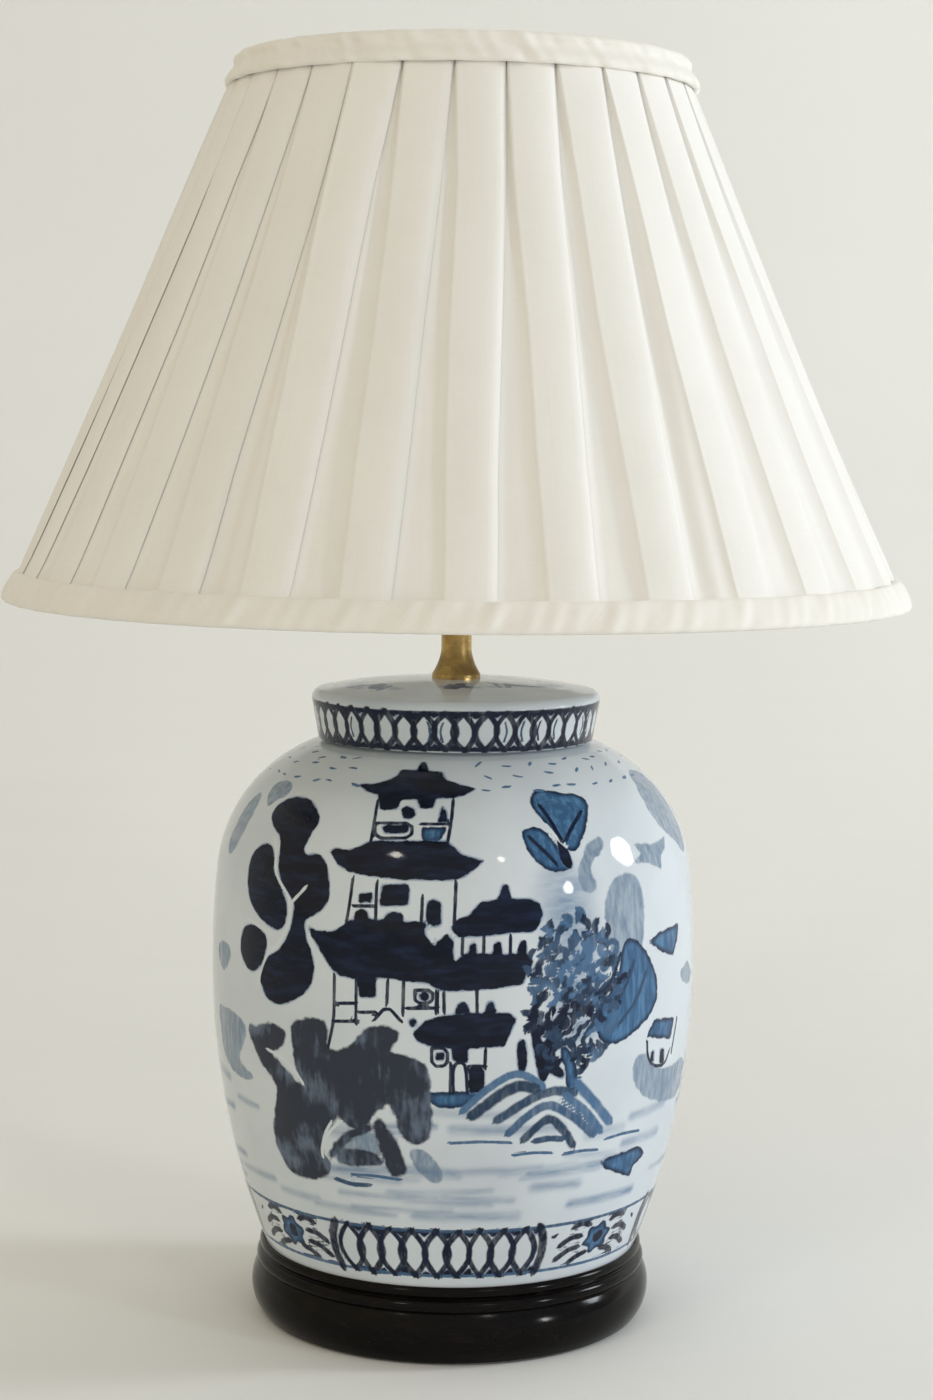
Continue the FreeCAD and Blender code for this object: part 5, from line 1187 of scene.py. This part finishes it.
def liningPiece():
    # A cone of thin cloth inside the frame, with slight pulls running down from the top ring.
    form = lining
    climb = np.linspace(0, 1, form["rows"])[:, None]
    turns = np.arange(form["columns"])[None, :] * 360 / form["columns"]
    levels = form["bottom"] + climb * (form["top"] - form["bottom"])
    swing = np.radians(turns)
    pulls = np.sin(36 * swing + 1.3 * np.sin(7 * swing)) * climb ** 2
    pulls = pulls + 0.8 * np.sin(30 * swing + 2) * (1 - climb) ** 3
    radii = slopeRadius(levels, form["offset"]) + form["pull"] * pulls * np.sin(np.pi * climb) ** 0.3
    u = np.linspace(0, 1.40, form["columns"] + 1)
    uv = np.stack(np.broadcast_arrays(u[None, :], climb * 0.284), -1)
    piece = thicken(gridMesh("lining_cloth", roundTrip(turns, radii, levels), uv=uv), form["thick"])
    settle(piece, "shade", "lining_cloth", "shade_lining")


bindings = {
    "bottom": {
        "name": "bottom_binding", "node": "bottom_trim", "columns": 900, "seed": 31, "ruck": 0.5,
        "slant": 9.0, "scallop": 0.7, "flat": (1.44, 0.040),
        # offset and level along the strip, from its edge on the cloth round the hoop to its inner edge
        "strip": (
            (5.3, 380.2), (3.0, 380.9), (1.5, 381.2), (0.75, 380.9), (0.1, 379.8), (-0.45, 377.6),
            (-0.75, 375.0), (-0.8, 372.2), (-0.5, 369.8), (0.3, 367.8), (1.8, 367.0), (4.0, 366.9),
            (6.6, 366.85), (9.2, 366.9), (10.9, 367.6), (11.5, 369.4), (11.6, 372.0), (11.3, 374.6),
            (10.9, 375.9)),
    },
    "top": {
        "name": "top_binding", "node": "top_trim", "columns": 540, "seed": 32, "ruck": 0.55,
        "slant": 7.0, "scallop": 0.2, "flat": (0.72, 0.034),
        "strip": (
            (3.0, 622.4), (1.3, 622.0), (0.5, 622.3), (-0.1, 623.2), (-0.45, 624.6), (-0.2, 626.2),
            (0.55, 627.6), (1.15, 629.2), (1.2, 630.9), (0.6, 632.4), (-0.2, 633.6), (-0.3, 634.8),
            (0.4, 635.7), (2.0, 636.2), (4.4, 636.5), (7.0, 636.4), (9.2, 636.2), (10.3, 635.4),
            (10.5, 634.4)),
    },
}


def bindingPiece(look):
    # A bias strip wrapped round the hoop: a smooth profile carried round, puckered on the slant.
    hand = np.random.default_rng(look["seed"])
    strip = softened(np.array(look["strip"]), 1, closed=False)
    offsets, levels = strip[:, 0][:, None], strip[:, 1][:, None]
    lengths = np.concatenate([[0], np.cumsum(np.hypot(*np.diff(strip, axis=0).T))])[:, None]
    count = look["columns"]
    turns = np.arange(count)[None, :] * 360 / count
    swing = np.radians(turns)
    lap = 2 * math.pi * slopeRadius(strip[0, 1], 0)
    slant = 2 * math.pi * lengths / look["slant"] * 0.35
    rucks = np.zeros_like(lengths + swing)
    for wave in (9, 13, 19, 29):  # whole numbers of rucks per turn, so the seam closes
        start = hand.uniform(0, 2 * math.pi)
        phase = start + hand.uniform(-1, 1) * np.sin(3 * swing + hand.uniform(0, 6))
        rucks += np.sin(round(lap / wave) * swing + phase + slant) * (wave / 19) ** 0.5
    held = np.clip(lengths / 2.5, 0.25, 1) * np.clip((lengths[-1] - lengths) / 3, 0.2, 1)
    shift = look["ruck"] * rucks / 2 * held
    pleatSwing = np.cos(shade["pleats"] * (swing - math.radians(shade["turn"])))
    tuck = look["scallop"] * pleatSwing * np.exp(-lengths / 2)
    inward = np.clip((offsets - 5.5) / 2, -1, 1)
    radii = slopeRadius(levels, offsets) - shift * inward
    lowest = look["node"] == "bottom_trim"
    rise = np.where(np.abs(inward) < 0.95, -np.abs(shift) * 0.4, 0) if lowest else 0
    points = roundTrip(turns, radii, levels + tuck - rise)
    u, v = np.linspace(0, lap * mm, count + 1)[None, :], lengths * mm
    uv = np.stack(np.broadcast_arrays(u + v, v - u), -1) * math.sqrt(0.5)  # threads run at 45 degrees
    piece = gridMesh(look["name"], points, uv=uv, flip=True)
    thicken(piece, 0.5)
    settle(piece, "shade", "binding_cloth", look["node"])


pleatedCloth()
liningPiece()
for look in bindings.values():
    bindingPiece(look)
print("lining and bindings made")


feltDisc = {"radius": 91.6, "thick": 1.5, "nap": 0.16, "seed": 4}


def feltPiece():
    # A closed disc with a slightly uneven cut edge and nap.
    form = feltDisc
    hand = np.random.default_rng(form["seed"])
    rim, thick = form["radius"], form["thick"]
    radii = np.array([0.05, 15, 30, 45, 60, 74, 84, rim - 0.5, rim,
                      rim, rim - 0.5, 84, 60, 30, 0.05])[:, None]
    levels = np.array([0.08] * 7 + [0.1, 0.4, thick - 0.4, thick - 0.05] + [thick - 0.02] * 4)[:, None]
    turns = np.arange(180)[None, :] * 2.0
    nap = hand.normal(0, 1, (len(radii), 180)) * form["nap"]
    nap[radii[:, 0] < 1] = 0
    radii = radii + nap * (radii > rim - 1)
    levels = levels + np.abs(nap) * 0.3 * (levels < 0.2)
    points = roundTrip(turns, radii, levels)
    points[0], points[-1] = points[0].mean(0), points[-1].mean(0)
    piece = gridMesh("felt_disc", points)
    settle(piece, "base", "felt", "base_felt")


feltPiece()


# A plain pale sweep behind and under the lamp, and soft light from windows on the right.
studio = {
    "sweep": (0.875, 0.875, 0.86), "cloudShare": 0.955, "wallAt": 1.5, "bend": 0.9, "extent": 6.0,
    "rightAir": (0.47, 0.51, 0.56), "leftAir": (0.72, 0.64, 0.47), "frontShare": 1.15, "backShare": 0.6,
    # name: place, aim, size, colour, power
    "lights": {
        "rightWindow": ((2.9, 0.2, 1.25), (0, 0, 0.4), (0.62, 0.85), (0.90, 0.96, 1.0), 34.0),
        "frontWindow": ((2.54, -1.73, 0.70), (0, 0, 0.3), (0.26, 0.42), (0.96, 0.98, 1.0), 14.0),
        "warmLamp": ((1.1, -2.4, 1.95), (0, 0, 0.3), (0.22, 0.18), (1.0, 0.93, 0.80), 3.5),
        "leftLamp": ((-1.3, -2.2, 2.0), (0, 0, 0.3), (0.30, 0.20), (1.0, 0.93, 0.84), 4.5),
    },
}


def sweepFinish():
    material, graph, shader, place = startMaterial("paleSweep", {
        "Roughness": 0.8, "Specular IOR Level": 0.2})
    cloud = graph.noise(place, 1.1, detail=2.0)
    fine = graph.noise(graph.stretched(place, (3.0, 40.0, 9.0)), 1.0, detail=3.0)
    mixed = graph.calc("MULTIPLY_ADD", fine, 0.15, cloud)
    pale = studio["sweep"]
    darker = tuple(value * studio["cloudShare"] for value in pale)
    graph.feed(shader["Base Color"], graph.blend(graph.slide(mixed, 0.35, 0.8), pale, darker))
    # clear from behind, so that a view from the far side isn't blocked by the wall
    back = graph.put("NewGeometry").outputs["Backfacing"]
    graph.feed(shader["Alpha"], graph.calc("SUBTRACT", 1.0, back))
    return material


def buildStudio():
    # The sweep runs level, bends up in a quarter circle and goes on as a wall.
    look = studio
    far, back, bend = look["extent"], look["wallAt"], look["bend"]
    quarter = np.linspace(0, math.pi / 2, 25)
    depth = np.concatenate([[-far], back - bend + bend * np.sin(quarter), [back]])
    height = np.concatenate([[0], bend - bend * np.cos(quarter), [far]])
    sides = np.array([-far, far])[None, :]
    points = np.stack(np.broadcast_arrays(sides, depth[:, None], height[:, None]), -1) / mm
    sweep = gridMesh("pale_sweep", points, ring=False)
    sweep.data.materials.append(sweepFinish())
    for name, (place, aim, size, colour, power) in look["lights"].items():
        lamp = bpy.data.lights.new(name, "AREA")
        lamp.shape, lamp.size, lamp.size_y = "ELLIPSE", *size
        lamp.color, lamp.energy = colour, power
        holder = bpy.data.objects.new(name, lamp)
        bpy.context.scene.collection.objects.link(holder)
        holder.location = place
        toward = np.array(aim) - np.array(place)
        holder.rotation_mode = "QUATERNION"
        holder.rotation_quaternion = Vector(toward).to_track_quat("-Z", "Y")
    world = bpy.data.worlds.new("studioAir")
    bpy.context.scene.world = world
    world.use_nodes = True
    graph = Graph(world.node_tree)
    way = graph.put("SeparateXYZ", {0: graph.put("TexCoord").outputs["Generated"]}).outputs
    air = graph.blend(graph.slide(way[0], -0.9, 0.9), look["leftAir"], look["rightAir"])
    share = graph.slide(way[1], -1.0, 1.0, look["frontShare"], look["backShare"])
    graph.feed(world.node_tree.nodes["Background"].inputs["Color"], air)
    graph.feed(world.node_tree.nodes["Background"].inputs["Strength"], share)


cameraLook = {"place": (0.0054, -1.4, 0.459), "downward": 5.83, "lean": 0.65, "lens": 70.95}


def placeCamera():
    # Looks level along +Y, tipped down and turned a little about its own axis.
    look = cameraLook
    lens = bpy.data.cameras.new("photoCamera")
    lens.lens, lens.sensor_width = look["lens"], 36.0
    lens.clip_start, lens.clip_end = 0.05, 50.0
    camera = bpy.data.objects.new("photoCamera", lens)
    bpy.context.scene.collection.objects.link(camera)
    camera.matrix_world = (Matrix.Translation(look["place"])
                           @ Matrix.Rotation(math.radians(90 - look["downward"]), 4, "X")
                           @ Matrix.Rotation(math.radians(look["lean"]), 4, "Z"))
    bpy.context.scene.camera = camera


buildStudio()
placeCamera()
bpy.context.scene.view_settings.view_transform = "Standard"
print("studio, lights and camera set")

bpy.context.view_layer.update()
